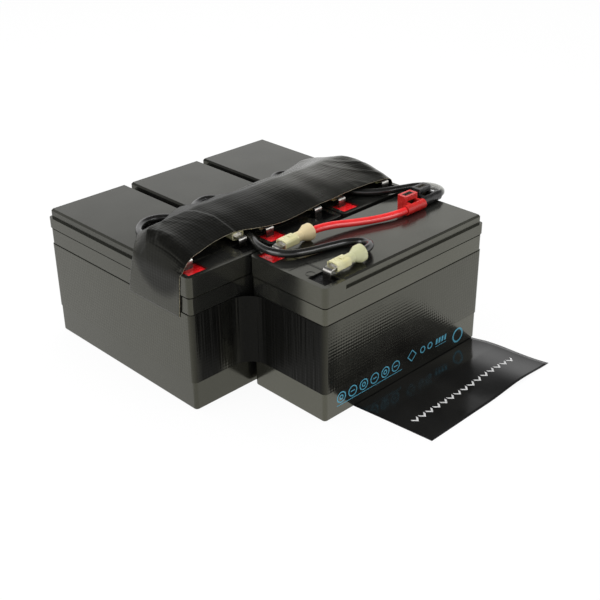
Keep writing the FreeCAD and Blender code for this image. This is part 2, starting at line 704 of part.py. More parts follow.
def tape_section(across, line):
    """The tape's cut at one station: its upper line, and the same line lower down."""
    thick = Vector(0, 0, size("strip_thickness"))
    upper = [Vector(across, y, z) for y, z in line]
    lower = [point - thick for point in upper]
    edges = []
    for points in (upper, lower[::-1]):
        curve = Part.BSplineCurve()
        curve.interpolate(points)
        edges.append(curve.toShape())
    return Part.Wire([edges[0], Part.makeLine(upper[-1], lower[-1]), edges[1],
                      Part.makeLine(lower[0], upper[0])])


def tape_line(front, back, low, crest_height, end_height, front_height):
    """Heights along the tape: up over the connectors' bells, then down behind them."""
    crest = row_front + size("strip_crest")
    drop = crest_height - end_height
    run = back - crest
    return [(front, front_height),
            ((front + crest) / 2, low + 0.62 * (crest_height - low) + 0.38 * (front_height - low)),
            (crest, crest_height),
            (crest + 0.36 * run, crest_height - 0.15 * drop),
            (crest + 0.70 * run, crest_height - 0.60 * drop),
            (back, end_height)]


def make_strip(name):
    """Woven tape pressed over the connectors, its two ends stuck down the pack's sides."""
    lid_top = BASE + size("battery_height")
    thick = size("strip_thickness")
    flat = lid_top + size("strip_clearance") + thick
    front = row_front + size("strip_front") + size("strip_ease")
    back = row_front + size("strip_back")
    left_back = row_front + size("strip_left_back")
    crest = lid_top + size("strip_crest_rise")
    between = crest - size("strip_sag")
    lip = lid_top + size("strip_front_rise")
    wires = lid_top + size("wire_diameter") + size("strip_wire_gap") + thick
    side = pack_half + size("strip_clearance")
    left, middle, right = -WIDTH - size("row_gap"), 0, WIDTH + size("row_gap")
    pole = WIDTH / 2 - value_of(TERMINALS["positive"])
    left_tail = row_front + size("strip_left_tail")
    right_tail = row_front + size("strip_right_tail")
    edge = size("strip_shoulder")
    lay = [
        (-side, front, left_tail, flat, flat, flat),
        (edge - side, front, left_back - edge / 2, lip - 1, crest - edge / 2, wires),
        (left - pole, front, left_back, lip, crest, wires + 2),
        (left, front, left_back + edge, lip, between, wires + 1),
        (left + pole, front, back - edge / 2, lip, crest + size("strip_cross_rise"), wires + 1),
        (middle - pole, front, back - edge / 2, lip, crest, wires),
        (middle - pole / 4, front, back, lip, between, wires),
        (middle + pole / 4, front, back, lip, between, flat),
        (middle + pole, front, back - edge / 2, lip, crest, wires),
        (right - pole, front, back - edge / 2, lip, crest, wires),
        (right, front, back, lip, between, wires),
        (right + pole, front, back, lip, crest, wires),
        (side - edge, front, back - edge, lip - 1, crest - edge / 2, wires - 2),
        (side, front, right_tail, flat, flat, flat),
    ]
    sections = [tape_section(x, tape_line(y1, y2, lid_top, top, end, start))
                for x, y1, y2, start, top, end in lay]
    strip = Part.makeLoft(sections, True, True)
    low = BASE + size("wrap_low") + size("wrap_height") + size("strip_tail_gap")
    for corner, tail in ((-side - thick, left_tail), (side, right_tail)):
        strip = strip.fuse(Part.makeBox(thick, tail - front, flat - low,
                                        Vector(corner, front, low)))
    feature = doc.addObject("Part::Feature", name)
    feature.Label = name
    feature.Shape = strip.removeSplitter()
    return feature


# ------------------------------------------------------------ cords

def cord_radii(points):
    """The radius of the arc at each inner point of a route."""
    radii = []
    for before, point, after in zip(points, points[1:], points[2:]):
        coming, going = point - before, after - point
        turn = coming.getAngle(going)
        radii.append(0.45 * min(coming.Length, going.Length) / math.tan(turn / 2))
    return radii


def cord_route(points):
    """Straight runs joined by tangent arcs, one at each inner point."""
    edges = []
    here = points[0]
    for radius, before, point, after in zip(cord_radii(points), points, points[1:], points[2:]):
        coming = (point - before).normalize()
        going = (after - point).normalize()
        turn = coming.getAngle(going)
        reach = radius * math.tan(turn / 2)
        start, end = point - coming * reach, point + going * reach
        inward = (going - coming).normalize()
        middle = point + inward * (radius / math.cos(turn / 2) - radius)
        edges.append(Part.LineSegment(here, start).toShape())
        edges.append(Part.Arc(start, middle, end).toShape())
        here = end
    edges.append(Part.LineSegment(here, points[-1]).toShape())
    return Part.Wire(edges)


def make_cord(name, points):
    """A round insulated wire along a route; prints its radii, length and volume."""
    route = cord_route(points)
    way = points[1] - points[0]
    section = Part.Wire(Part.Circle(points[0], way, size("wire_diameter") / 2).toShape())
    tube = route.makePipeShell([section], True, False)
    feature = doc.addObject("Part::Feature", name)
    feature.Label = name
    feature.Shape = tube
    expected = math.pi * (size("wire_diameter") / 2) ** 2 * route.Length
    radii = ", ".join("%.1f" % r for r in cord_radii(points))
    print("%s: length %.1f, volume %.4f of section times length, radii %s"
          % (name, route.Length, tube.Volume / expected, radii))
    return feature


# ------------------------------------------------------------ the pack
BASE = size("film_thickness")
WIDTH, LENGTH = size("battery_width"), size("battery_length")
row_front = value_of(ROW_FRONT)
pack_half = value_of(PACK_HALF)

# Where each battery stands: its corner and its turn about Z, bound to the sheet.
STANDS = {
    "left": ("-" + PACK_HALF, ROW_FRONT, 0),
    "middle": ("-battery_width / 2", ROW_FRONT, 0),
    "right": ("battery_width / 2 + row_gap", ROW_FRONT, 0),
    "front": (PACK_HALF + " - battery_length", ROW_FRONT + " - front_gap", -90),
}
TERMINALS = {
    "positive": "(well_edge + well_width / 2)",
    "negative": "(battery_width - well_edge - well_width / 2)",
}
WELL_STARTS = {
    "positive": "well_edge",
    "negative": "(battery_width - well_edge - well_width)",
}

nodes = {}


def keep(feature):
    nodes[feature.Label] = feature
    return feature


def stand(name):
    across, along, turn = STANDS[name]
    return Placement(Vector(value_of(across), value_of(along), BASE),
                     Rotation(Vector(0, 0, 1), turn))


def seat(feature, name, across="0"):
    """Put a piece drawn in a battery's frame where that battery stands."""
    x, y, turn = STANDS[name]
    feature.Placement = Placement(Vector(0, 0, 0), Rotation(Vector(0, 0, 1), turn))
    if turn:
        feature.setExpression("Placement.Base.x", bound(x))
        feature.setExpression("Placement.Base.y", bound(y + " - " + across))
    else:
        feature.setExpression("Placement.Base.x", bound(x + " + " + across))
        feature.setExpression("Placement.Base.y", bound(y))
    feature.setExpression("Placement.Base.z", bound("film_thickness"))
    return keep(feature)


for battery in STANDS:
    seat(make_container(battery + "_container"), battery)
    seat(make_lid(battery + "_lid"), battery)
    seat(make_cover(battery + "_cover"), battery)
    seat(make_caps(battery + "_valve_caps"), battery)
    seat(make_cells(battery + "_cells"), battery)
    for pole, across in TERMINALS.items():
        seat(make_terminal("%s_%s_tab" % (battery, pole)), battery, across)
        seat(make_seal("%s_%s_seal" % (battery, pole), WELL_STARTS[pole]), battery)


def faston_frame(battery, pole):
    """The frame of the connector on one tab: X from its mouth to its wire."""
    tilt = size("tab_tilt")
    outer = size("tab_bend") + size("tab_thickness")
    drop = size("tab_thickness") / 2
    along = size("tab_setback") + size("faston_exposure")
    up = (size("battery_height") + size("tab_rise") - outer
          + (outer - drop) / math.cos(math.radians(tilt))
          + (size("faston_exposure") - outer) * math.tan(math.radians(tilt)))
    lean = Rotation(Vector(0, 0, 1), 90) * Rotation(Vector(0, 1, 0), -tilt)
    return stand(battery) * Placement(
        Vector(value_of(TERMINALS[pole]), along, up), lean)


fastons = {}
contacts = []
for battery in STANDS:
    for pole in TERMINALS:
        frame = faston_frame(battery, pole)
        fastons[battery, pole] = frame
        faston = keep(make_faston("%s_%s_faston" % (battery, pole)))
        faston.Placement = frame
        contact = make_contact("%s_%s_contact" % (battery, pole))
        contact.Placement = frame
        contacts.append(contact)


def group(name, members):
    compound = doc.addObject("Part::Compound", name)
    compound.Links = members
    compound.Label = name
    return keep(compound)


group("faston_contacts", contacts)

# The two lead connectors lie on the front battery's lid: the wire enters the red
# one from the left and the black one from the right.
LID_TOP = BASE + size("battery_height")
flag_lift = LID_TOP + size("rest_gap") + size("flag_sleeve") / 2
front_edge = row_front - size("front_gap")
red_frame = Placement(Vector(pack_half - size("red_flag_inset"),
                             front_edge - size("red_flag_back"), flag_lift), Rotation())
black_frame = Placement(Vector(pack_half - size("black_flag_inset"),
                               front_edge - size("black_flag_back"), flag_lift), Rotation())

red_flag = keep(make_flag("red_connector"))
red_flag.Placement = red_frame
red_contact = make_flag_contact("red_contact")
red_contact.Placement = red_frame


def mirrored(name, source):
    """The same moulding for a wire that enters from the other side."""
    copy = doc.addObject("Part::Mirroring", name)
    copy.Source = source
    copy.Base = Vector(0, 0, 0)
    copy.Normal = Vector(1, 0, 0)
    copy.Label = name
    return copy


black_flag = keep(mirrored("black_connector", make_flag("black_connector_form")))
black_flag.Placement = black_frame
black_contact = mirrored("black_contact", make_flag_contact("black_contact_form"))
black_contact.Placement = black_frame
group("lead_contacts", [red_contact, black_contact])

wrap = keep(make_wrap("wrap_tape"))
wrap.setExpression("Placement.Base.x", bound("-" + PACK_HALF))
wrap.setExpression("Placement.Base.y",
                   bound(ROW_FRONT + " - front_gap - battery_width"))
wrap.setExpression("Placement.Base.z", bound("film_thickness"))

pull_tab = keep(make_pull_tab("pull_tab"))
pull_tab.setExpression("Placement.Base.x", bound("-" + PACK_HALF + " + film_margin"))
pull_tab.setExpression("Placement.Base.y",
                       bound(ROW_FRONT + " - front_gap - battery_width - film_reach"))

keep(make_strip("terminal_tape"))


# ------------------------------------------------------------ wires
OUT = size("faston_length") + 2.4


def from_faston(battery, pole):
    """The first two points of a wire: on its barrel, and just out of the bell."""
    frame = fastons[battery, pole]
    return [frame.multVec(Vector(size("wire_seat"), 0, 0)), frame.multVec(Vector(OUT, 0, 0))]


def into_faston(battery, pole):
    return from_faston(battery, pole)[::-1]


def cord_points(*places):
    """Points given across, along and above the lids' covers."""
    return [Vector(x, y, LID_TOP + up) for x, y, up in places]


CORDS = {
    # from the front battery's negative pole, over its lid, past its other tab and
    # under the tape to the left battery
    "front_to_left_wire": from_faston("front", "negative") + cord_points(
        (3.4, -94.6, 5.35), (7.6, -85.0, 3.95), (1.6, -77.4, 3.35), (-11.5, -73.4, 3.45),
        (-26.0, -70.4, 3.75), (-39.6, -66.0, 3.85), (-45.4, -54.4, 3.85),
        (-43.8, -41.6, 3.65), (-37.2, -30.6, 3.05), (-35.9, -16.2, 2.65),
        (-36.0, -1.4, 2.65), (-41.0, 12.4, 2.65), (-50.2, 23.8, 2.65), (-56.2, 36.0, 2.65),
        (-69.0, 39.4, 2.65), (-80.6, 31.0, 2.95), (-86.6, 17.6, 4.55),
        ) + into_faston("left", "positive"),
    # the three jumpers and leads that loop behind the row's connectors
    "left_to_middle_wire": from_faston("left", "negative") + cord_points(
        (-44.9, 10.8, 8.45), (-43.4, 19.2, 8.45), (-37.2, 28.0, 4.35), (-28.6, 37.6, 2.75),
        (-15.6, 40.4, 2.65), (-9.6, 28.4, 2.95), (-17.4, 15.6, 4.75),
        ) + into_faston("middle", "positive"),
    "middle_to_right_wire": from_faston("middle", "negative") + cord_points(
        (25.0, 15.4, 4.95), (34.0, 28.4, 2.95), (47.0, 38.6, 2.65), (57.4, 29.4, 2.85),
        (50.6, 15.6, 4.95)) + into_faston("right", "positive"),
    "black_lead": from_faston("right", "negative") + cord_points(
        (92.8, 14.8, 5.15), (91.8, 29.4, 3.35), (83.0, 40.6, 2.65), (70.2, 34.6, 2.65),
        (64.0, 20.6, 2.65), (60.6, 5.0, 2.65), (59.4, -12.0, 2.65), (63.2, -27.0, 2.75),
        (74.4, -37.8, 2.95), (88.6, -44.8, 3.35), (100.0, -50.4, 3.75),
        (106.8, -59.0, 3.75), (104.6, -68.0, 3.65)),
    # from the front battery's positive pole over its lid
    "red_lead": from_faston("front", "positive") + cord_points(
        (6.4, -56.0, 5.35), (21.4, -61.0, 3.75), (36.8, -67.0, 2.95)),
}
EXIT = 7.8
CORDS["red_lead"] += [red_frame.multVec(Vector(-EXIT, 0, 0)),
                      red_frame.multVec(Vector(size("flag_socket_depth"), 0, 0))]
CORDS["black_lead"] += [black_frame.multVec(Vector(1.0, 0, 0)),
                        black_frame.multVec(Vector(-size("flag_socket_depth"), 0, 0))]

for name, points in CORDS.items():
    keep(make_cord(name, points))


# ------------------------------------------------------------ write the pieces
doc.recompute()
for item in doc.Objects:
    if "Invalid" in item.State or "Error" in item.State:
        raise RuntimeError("%s did not build: %s" % (item.Name, item.State))

os.makedirs("parts", exist_ok=True)
for name, feature in nodes.items():
    shape = feature.Shape
    if shape.isNull() or not shape.isValid() or not shape.Solids:
        raise RuntimeError("%s has no valid solid" % name)
    shape.exportStep("parts/%s.step" % name)
print("%d pieces, %d solids" % (len(nodes), sum(len(f.Shape.Solids) for f in nodes.values())))
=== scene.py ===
import math

import bpy
from mathutils import Matrix, Vector, noise


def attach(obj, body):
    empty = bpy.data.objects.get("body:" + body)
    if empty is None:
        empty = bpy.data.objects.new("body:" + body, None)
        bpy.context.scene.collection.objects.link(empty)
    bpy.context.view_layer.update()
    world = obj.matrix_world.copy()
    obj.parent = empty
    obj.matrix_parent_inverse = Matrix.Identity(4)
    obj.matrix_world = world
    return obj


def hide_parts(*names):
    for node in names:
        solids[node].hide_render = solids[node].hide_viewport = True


# A UPS battery cartridge: four sealed lead-acid batteries in black plastic cases,
# taped into one pack and wired in series.  Metres, +Z up.  Three stand side by
# side along X with their poles at the -Y end, and the fourth stands across it.
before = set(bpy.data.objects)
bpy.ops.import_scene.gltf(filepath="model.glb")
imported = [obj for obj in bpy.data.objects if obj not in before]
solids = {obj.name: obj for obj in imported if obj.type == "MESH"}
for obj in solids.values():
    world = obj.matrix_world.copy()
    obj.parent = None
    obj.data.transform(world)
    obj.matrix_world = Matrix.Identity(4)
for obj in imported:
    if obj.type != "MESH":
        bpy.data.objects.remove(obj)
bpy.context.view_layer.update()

# ---------------------------------------------------------------- camera
# A 63 mm lens stands off the pack's left front corner and looks down on it.
camera_place = Vector((-0.43351, -0.48172, 0.37246))
camera_turn = math.radians(-44.095)
camera_rise = math.radians(28.165)
camera_roll = math.radians(-0.640)
lens_length = 63.037
sensor_width = 36
nearest_seen = 0.02
back = Vector((math.sin(camera_turn) * math.cos(camera_rise),
               -math.cos(camera_turn) * math.cos(camera_rise), math.sin(camera_rise)))
level = Vector((math.cos(camera_turn), math.sin(camera_turn), 0))
upright = back.cross(level)
right = math.cos(camera_roll) * level + math.sin(camera_roll) * upright
up = math.cos(camera_roll) * upright - math.sin(camera_roll) * level
camera = bpy.data.objects.new("camera", bpy.data.cameras.new("camera"))
camera.data.lens = lens_length
camera.data.sensor_width = sensor_width
camera.data.clip_start = nearest_seen
camera.matrix_world = Matrix.Translation(camera_place) @ Matrix(
    (right, up, back)).transposed().to_4x4()
bpy.context.scene.collection.objects.link(camera)
bpy.context.scene.camera = camera

# ---------------------------------------------------------------- floor and light
# White paper under soft boxes overhead, to the left and, weaker, in front.  White
# screens round it reach 22 degrees over the horizon and the room above is dark:
# both are seen and mirrored, but the light they throw is an even grey.
bpy.context.scene.view_settings.view_transform = "Standard"


def new_material(name):
    """An empty principled material with its tree at hand."""
    material = bpy.data.materials.new(name)
    material.use_nodes = True
    tree = material.node_tree
    return material, tree, tree.nodes["Principled BSDF"]


def seen_directly(tree):
    """1 for rays from the camera, or seen in gloss or through clear matter."""
    path = tree.nodes.new("ShaderNodeLightPath")
    total = path.outputs["Is Camera Ray"]
    for kind in ("Is Glossy Ray", "Is Transmission Ray"):
        join = tree.nodes.new("ShaderNodeMath")
        join.operation = "MAXIMUM"
        tree.links.new(total, join.inputs[0])
        tree.links.new(path.outputs[kind], join.inputs[1])
        total = join.outputs[0]
    return total


unseen_strength = 0.50
screen_top = 0.38
ceiling_from = 0.90
ceiling_grey = 0.03
screen_fade = ((0.44, 0.88), (0.50, 0.48), (0.60, 0.10))   # height, grey
world = bpy.data.worlds.new("studio")
world.use_nodes = True
bpy.context.scene.world = world
air = world.node_tree
dim = air.nodes["Background"]
dim.inputs["Color"].default_value = (1, 1, 1, 1)
dim.inputs["Strength"].default_value = unseen_strength
bright = air.nodes.new("ShaderNodeBackground")
direction = air.nodes.new("ShaderNodeTexCoord")
heights = air.nodes.new("ShaderNodeSeparateXYZ")
ceiling = air.nodes.new("ShaderNodeValToRGB")
ceiling.color_ramp.elements[0].position = screen_top
ceiling.color_ramp.elements[0].color = (1, 1, 1, 1)
ceiling.color_ramp.elements[1].position = ceiling_from
ceiling.color_ramp.elements[1].color = (ceiling_grey, ceiling_grey, ceiling_grey, 1)
for height, grey in screen_fade:
    stop = ceiling.color_ramp.elements.new(height)
    stop.color = (grey, grey, grey, 1)
air.links.new(direction.outputs["Generated"], heights.inputs[0])
air.links.new(heights.outputs["Z"], ceiling.inputs["Fac"])
air.links.new(ceiling.outputs["Color"], bright.inputs["Color"])
bright.inputs["Strength"].default_value = 1.0
either = air.nodes.new("ShaderNodeMixShader")
air.links.new(seen_directly(air), either.inputs[0])
air.links.new(dim.outputs[0], either.inputs[1])
air.links.new(bright.outputs[0], either.inputs[2])
air.links.new(either.outputs[0], air.nodes["World Output"].inputs["Surface"])

floor_reach = 4.0
floor_height = -0.0001
floor_corners = [(x * floor_reach, y * floor_reach, floor_height)
                 for x, y in ((-1, -1), (1, -1), (1, 1), (-1, 1))]
paper_white = 0.86
paper_glow = 0.94
floor_mesh = bpy.data.meshes.new("floor")
floor_mesh.from_pydata(floor_corners, [], [(0, 1, 2, 3)])
floor = bpy.data.objects.new("floor", floor_mesh)
bpy.context.scene.collection.objects.link(floor)
paper, paper_tree, paper_shader = new_material("white_paper")
paper_shader.inputs["Base Color"].default_value = (paper_white, paper_white, paper_white, 1)
paper_shader.inputs["Roughness"].default_value = 0.9
paper_shader.inputs["Specular IOR Level"].default_value = 0.0
glow = paper_tree.nodes.new("ShaderNodeEmission")
glow.inputs["Strength"].default_value = 1.0
lift = paper_tree.nodes.new("ShaderNodeMixShader")
share = paper_tree.nodes.new("ShaderNodeMath")
share.operation = "MULTIPLY"
share.inputs[1].default_value = paper_glow
paper_tree.links.new(seen_directly(paper_tree), share.inputs[0])
paper_tree.links.new(share.outputs[0], lift.inputs[0])
paper_tree.links.new(paper_shader.outputs[0], lift.inputs[1])
paper_tree.links.new(glow.outputs[0], lift.inputs[2])
paper_tree.links.new(lift.outputs[0], paper_tree.nodes["Material Output"].inputs["Surface"])
floor.data.materials.append(paper)

soft_boxes = {
    # name: place, aimed at, size, watts
    "overhead_box": ((0.10, 0.35, 1.15), (0.0, 0.0, 0.05), 1.30, 15.0),
    "left_box": ((-1.10, 0.10, 0.60), (0.0, 0.0, 0.05), 0.80, 6.0),
    "front_box": ((0.35, -1.15, 0.55), (0.0, 0.0, 0.05), 0.70, 4.5),
}
for name, (place, aim, side, watts) in soft_boxes.items():
    lamp = bpy.data.lights.new(name, "AREA")
    lamp.size = side
    lamp.energy = watts
    box = bpy.data.objects.new(name, lamp)
    box.location = place
    box.visible_glossy = name != "overhead_box"
    box.rotation_euler = (Vector(aim) - Vector(place)).to_track_quat("-Z", "Y").to_euler()
    bpy.context.scene.collection.objects.link(box)

# ---------------------------------------------------------------- leads and jumpers
# Stranded copper in soft PVC, 5 mm over the insulation, crimped at both ends.
# They are cut to length and pushed on last, and lie over the lids as they fall.
wire_width = 0.0050
pvc_index = 1.62
pvc_black = (0.007, 0.007, 0.0065)
pvc_black_scuffed = (0.013, 0.013, 0.012)
pvc_red = (0.76, 0.024, 0.024)
pvc_red_scuffed = (0.66, 0.016, 0.018)
# painted highlight: pale grey laid into the black lead's colour over its bend at the right,
# fading in along X between the two places below
painted_highlight_grey = (0.30, 0.30, 0.28)
highlight_from, highlight_full = 0.0985, 0.1055


def spread(tree, scale, detail, low, high, stretch=(1, 1, 1)):
    """Cloudy noise in the pack's own metres, brought between two values."""
    usual_low, usual_high = 0.3, 0.7
    coordinates = tree.nodes.new("ShaderNodeTexCoord")
    mapping = tree.nodes.new("ShaderNodeMapping")
    mapping.inputs["Scale"].default_value = stretch
    cloud = tree.nodes.new("ShaderNodeTexNoise")
    cloud.inputs["Scale"].default_value = scale
    cloud.inputs["Detail"].default_value = detail
    levels = tree.nodes.new("ShaderNodeMapRange")
    levels.inputs["From Min"].default_value = usual_low
    levels.inputs["From Max"].default_value = usual_high
    levels.inputs["To Min"].default_value = low
    levels.inputs["To Max"].default_value = high
    tree.links.new(coordinates.outputs["Object"], mapping.inputs["Vector"])
    tree.links.new(mapping.outputs["Vector"], cloud.inputs["Vector"])
    tree.links.new(cloud.outputs["Fac"], levels.inputs["Value"])
    return levels.outputs["Result"]


def along_axis(tree, axis, start, end):
    """0 to 1 between two places along one of the pack's own axes."""
    coordinates = tree.nodes.new("ShaderNodeTexCoord")
    split = tree.nodes.new("ShaderNodeSeparateXYZ")
    levels = tree.nodes.new("ShaderNodeMapRange")
    levels.interpolation_type = "SMOOTHSTEP"
    levels.inputs["From Min"].default_value = start
    levels.inputs["From Max"].default_value = end
    tree.links.new(coordinates.outputs["Object"], split.inputs[0])
    tree.links.new(split.outputs[axis], levels.inputs["Value"])
    return levels.outputs["Result"]


def blend_colours(tree, amount, first, second):
    """One colour turning into another as the amount goes from 0 to 1."""
    mix = tree.nodes.new("ShaderNodeMix")
    mix.data_type = "RGBA"
    mix.inputs["A"].default_value = (*first, 1)
    mix.inputs["B"].default_value = (*second, 1)
    tree.links.new(amount, mix.inputs["Factor"])
    return mix.outputs["Result"]


def emboss(tree, shader, height, depth, strength=1.0):
    """Feed a height, in parts of a depth, to the shader's normal."""
    bump = tree.nodes.new("ShaderNodeBump")
    bump.inputs["Strength"].default_value = strength
    bump.inputs["Distance"].default_value = depth
    tree.links.new(height, bump.inputs["Height"])
    tree.links.new(bump.outputs["Normal"], shader.inputs["Normal"])
    return bump


def insulation(name, colour, scuffed, painted_highlight=False):
    """Extruded PVC: glossy, a little uneven and lightly scuffed, and if asked with a painted
    pale highlight at one bend.
    """
    material, tree, shader = new_material(name)
    shader.inputs["IOR"].default_value = pvc_index
    tint = blend_colours(tree, spread(tree, 180, 3, 0, 1), colour, scuffed)
    # painted highlight: the colour turns pale grey along X over the lead's bend
    if painted_highlight:
        highlight_mix = tree.nodes.new("ShaderNodeMix")
        highlight_mix.data_type = "RGBA"
        highlight_mix.inputs["B"].default_value = (*painted_highlight_grey, 1)
        tree.links.new(along_axis(tree, "X", highlight_from, highlight_full), highlight_mix.inputs["Factor"])
        tree.links.new(tint, highlight_mix.inputs["A"])
        tint = highlight_mix.outputs["Result"]
    tree.links.new(tint, shader.inputs["Base Color"])
    tree.links.new(spread(tree, 120, 2, 0.18, 0.27), shader.inputs["Roughness"])
    emboss(tree, shader, spread(tree, 120, 1, 0, 1), 0.0002, 0.10)
    return material


black_pvc = insulation("black_pvc", pvc_black, pvc_black_scuffed)
highlighted_black_pvc = insulation("black_pvc_painted_highlight", pvc_black, pvc_black_scuffed, painted_highlight=True)
red_pvc = insulation("red_pvc", pvc_red, pvc_red_scuffed)


def lay_wire(name, points, material):
    """A round wire along one smooth line."""
    curve = bpy.data.curves.new(name, "CURVE")
    curve.dimensions = "3D"
    curve.bevel_depth = wire_width / 2
    curve.bevel_resolution = 6
    curve.resolution_u = 10
    curve.use_fill_caps = True
    line = curve.splines.new("NURBS")
    line.points.add(len(points) - 1)
    for spot, place in zip(line.points, points):
        spot.co = (*place, 1)
    line.order_u = 3
    line.use_endpoint_u = True
    wire = bpy.data.objects.new(name, curve)
    bpy.context.scene.collection.objects.link(wire)
    curve.materials.append(material)
    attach(wire, "root")
    return wire


front_to_left_route = [
    (-0.0202, -0.0981, 0.0989), (-0.0078, -0.0981, 0.0993), (0.0034, -0.0946, 0.0986),
    (0.0076, -0.0850, 0.0964), (0.0016, -0.0774, 0.0959), (-0.0115, -0.0734, 0.0959),
    (-0.0260, -0.0704, 0.0962), (-0.0396, -0.0660, 0.0970), (-0.0454, -0.0544, 0.0971),
    (-0.0438, -0.0416, 0.0969), (-0.0372, -0.0306, 0.0963), (-0.0359, -0.0162, 0.0959),
    (-0.0360, -0.0014, 0.0959), (-0.0410, 0.0124, 0.0959), (-0.0502, 0.0238, 0.0959),
    (-0.0562, 0.0360, 0.0959), (-0.0690, 0.0394, 0.0959), (-0.0806, 0.0310, 0.0962),
    (-0.0866, 0.0176, 0.0978), (-0.0885, 0.0018, 0.0993), (-0.0885, -0.0106, 0.0989)]
left_to_middle_route = [
    (-0.0447, -0.0106, 0.0989), (-0.0447, 0.0018, 0.0993), (-0.0449, 0.0108, 0.1017),
    (-0.0434, 0.0192, 0.1017), (-0.0372, 0.0280, 0.0976), (-0.0286, 0.0376, 0.0960),
    (-0.0156, 0.0404, 0.0959), (-0.0096, 0.0284, 0.0962), (-0.0174, 0.0156, 0.0980),
    (-0.0219, 0.0018, 0.0993), (-0.0219, -0.0106, 0.0989)]
middle_to_right_route = [
    (0.0219, -0.0106, 0.0989), (0.0219, 0.0018, 0.0993), (0.0250, 0.0154, 0.0982),
    (0.0340, 0.0284, 0.0962), (0.0470, 0.0386, 0.0959), (0.0574, 0.0294, 0.0961),
    (0.0506, 0.0156, 0.0982), (0.0447, 0.0018, 0.0993), (0.0447, -0.0106, 0.0989)]
black_lead_route = [
    (0.0885, -0.0106, 0.0989), (0.0885, 0.0018, 0.0993), (0.0928, 0.0148, 0.0984),
    (0.0918, 0.0294, 0.0966), (0.0830, 0.0406, 0.0959), (0.0702, 0.0346, 0.0959),
    (0.0640, 0.0206, 0.0959), (0.0606, 0.0050, 0.0959), (0.0594, -0.0120, 0.0959),
    (0.0632, -0.0270, 0.0960), (0.0744, -0.0378, 0.0962), (0.0886, -0.0448, 0.0966),
    (0.1000, -0.0504, 0.0970), (0.1068, -0.0590, 0.0970), (0.1046, -0.0680, 0.0969),
    (0.0982, -0.0702, 0.0967), (0.0902, -0.0702, 0.0967)]
red_lead_route = [
    (-0.0202, -0.0543, 0.0989), (-0.0078, -0.0543, 0.0993), (0.0064, -0.0560, 0.0986),
    (0.0214, -0.0610, 0.0970), (0.0368, -0.0670, 0.0962), (0.0530, -0.0724, 0.0967),
    (0.0678, -0.0724, 0.0967)]

wires = {
    # name: solid it replaces, route, length, far end, material, finish, what it carries
    "front_to_left_jumper": ("front_to_left_wire", front_to_left_route, 0.2635, "object",
                             black_pvc, "black_insulation", ()),
    "left_to_middle_jumper": ("left_to_middle_wire", left_to_middle_route, 0.1192, "object",
                              black_pvc, "black_insulation", ()),
    "middle_to_right_jumper": ("middle_to_right_wire", middle_to_right_route, 0.1113,
                               "object", black_pvc, "black_insulation", ()),
    # the black lead's insulation carries a painted highlight on its bend
    "black_output_lead": ("black_lead", black_lead_route, 0.2070, "connector",
                          highlighted_black_pvc, "black_insulation", ("black_connector",)),
    "red_output_lead": ("red_lead", red_lead_route, 0.0909, "connector",
                        red_pvc, "red_insulation", ("red_connector", "lead_contacts")),
}
for name, (node, route, length, end, material, finish, carried) in wires.items():
    wire = lay_wire(name, route, material)
    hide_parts(node)

# ---------------------------------------------------------------- cases
# Injection-moulded ABS, dark grey: a container, a lid glued into its rim and a
# loose cover over the valves.  The faces are glossy, with faint flow marks, and
# the front battery's are the glossiest.
batteries = ("left", "middle", "right", "front")
case_dark = (0.0085, 0.0087, 0.0080)
case_light = (0.0130, 0.0132, 0.0121)
# painted warm tint of the light: every reflection off the cases and the tape turns yellowish
# by this
painted_warm_light_tint = (1.0, 0.99, 0.76, 1)


def moulded(name, low, high, flow, index):
    """Black ABS with a fine spark-eroded grain and broad, weak flow marks."""
    material, tree, shader = new_material(name)
    tree.links.new(blend_colours(tree, spread(tree, 28, 2, 0, 1, flow), case_dark, case_light),
                   shader.inputs["Base Color"])
    tree.links.new(spread(tree, 40, 1.5, low, high, flow), shader.inputs["Roughness"])
    shader.inputs["IOR"].default_value = index
    # the painted warm tint of the light on the case's reflections
    shader.inputs["Specular Tint"].default_value = painted_warm_light_tint
    emboss(tree, shader, spread(tree, 1800, 1, 0, 1), 0.00003, 0.10)
    return material


drawn_up = (1, 1, 0.35)
all_ways = (1, 1, 1)
container_plastic = moulded("container_plastic", 0.13, 0.19, drawn_up, 1.62)
lid_plastic = moulded("lid_plastic", 0.14, 0.20, all_ways, 1.60)
cover_plastic = moulded("cover_plastic", 0.15, 0.21, all_ways, 1.48)
front_container_plastic = moulded("front_container_plastic", 0.12, 0.18, drawn_up, 1.80)
front_lid_plastic = moulded("front_lid_plastic", 0.15, 0.21, all_ways, 1.74)


def finish_solid(node, material):
    """Give one of the part's own solids its finish."""
    mesh = solids[node].data
    mesh.materials.clear()
    mesh.materials.append(material)


for battery in batteries:
    at_front = battery == "front"
    finish_solid(battery + "_container",
                 front_container_plastic if at_front else container_plastic)
    finish_solid(battery + "_lid", front_lid_plastic if at_front else lid_plastic)
    finish_solid(battery + "_cover", front_lid_plastic if at_front else cover_plastic)

# ---------------------------------------------------------------- inside the cases
# Rubber caps sit on the six vent chimneys; each cell is a stack of lead plates
# and glass mat with two cast straps.  Both are hidden once the covers are on.
cap_black = (0.018, 0.018, 0.018)
cap_bloom = (0.030, 0.029, 0.028)
lead_dark = (0.20, 0.20, 0.21)
lead_light = (0.33, 0.33, 0.35)
rubber, rubber_tree, rubber_shader = new_material("valve_rubber")
rubber_tree.links.new(blend_colours(rubber_tree, spread(rubber_tree, 400, 3, 0, 1),
                                    cap_black, cap_bloom),
                      rubber_shader.inputs["Base Color"])
rubber_shader.inputs["Roughness"].default_value = 0.75
lead, lead_tree, lead_shader = new_material("lead_plates")
lead_tree.links.new(blend_colours(lead_tree, spread(lead_tree, 300, 4, 0, 1, (1, 6, 1)),
                                  lead_dark, lead_light),
                    lead_shader.inputs["Base Color"])
lead_shader.inputs["Metallic"].default_value = 0.6
lead_shader.inputs["Roughness"].default_value = 0.6
for battery in batteries:
    finish_solid(battery + "_valve_caps", rubber)
    finish_solid(battery + "_cells", lead)
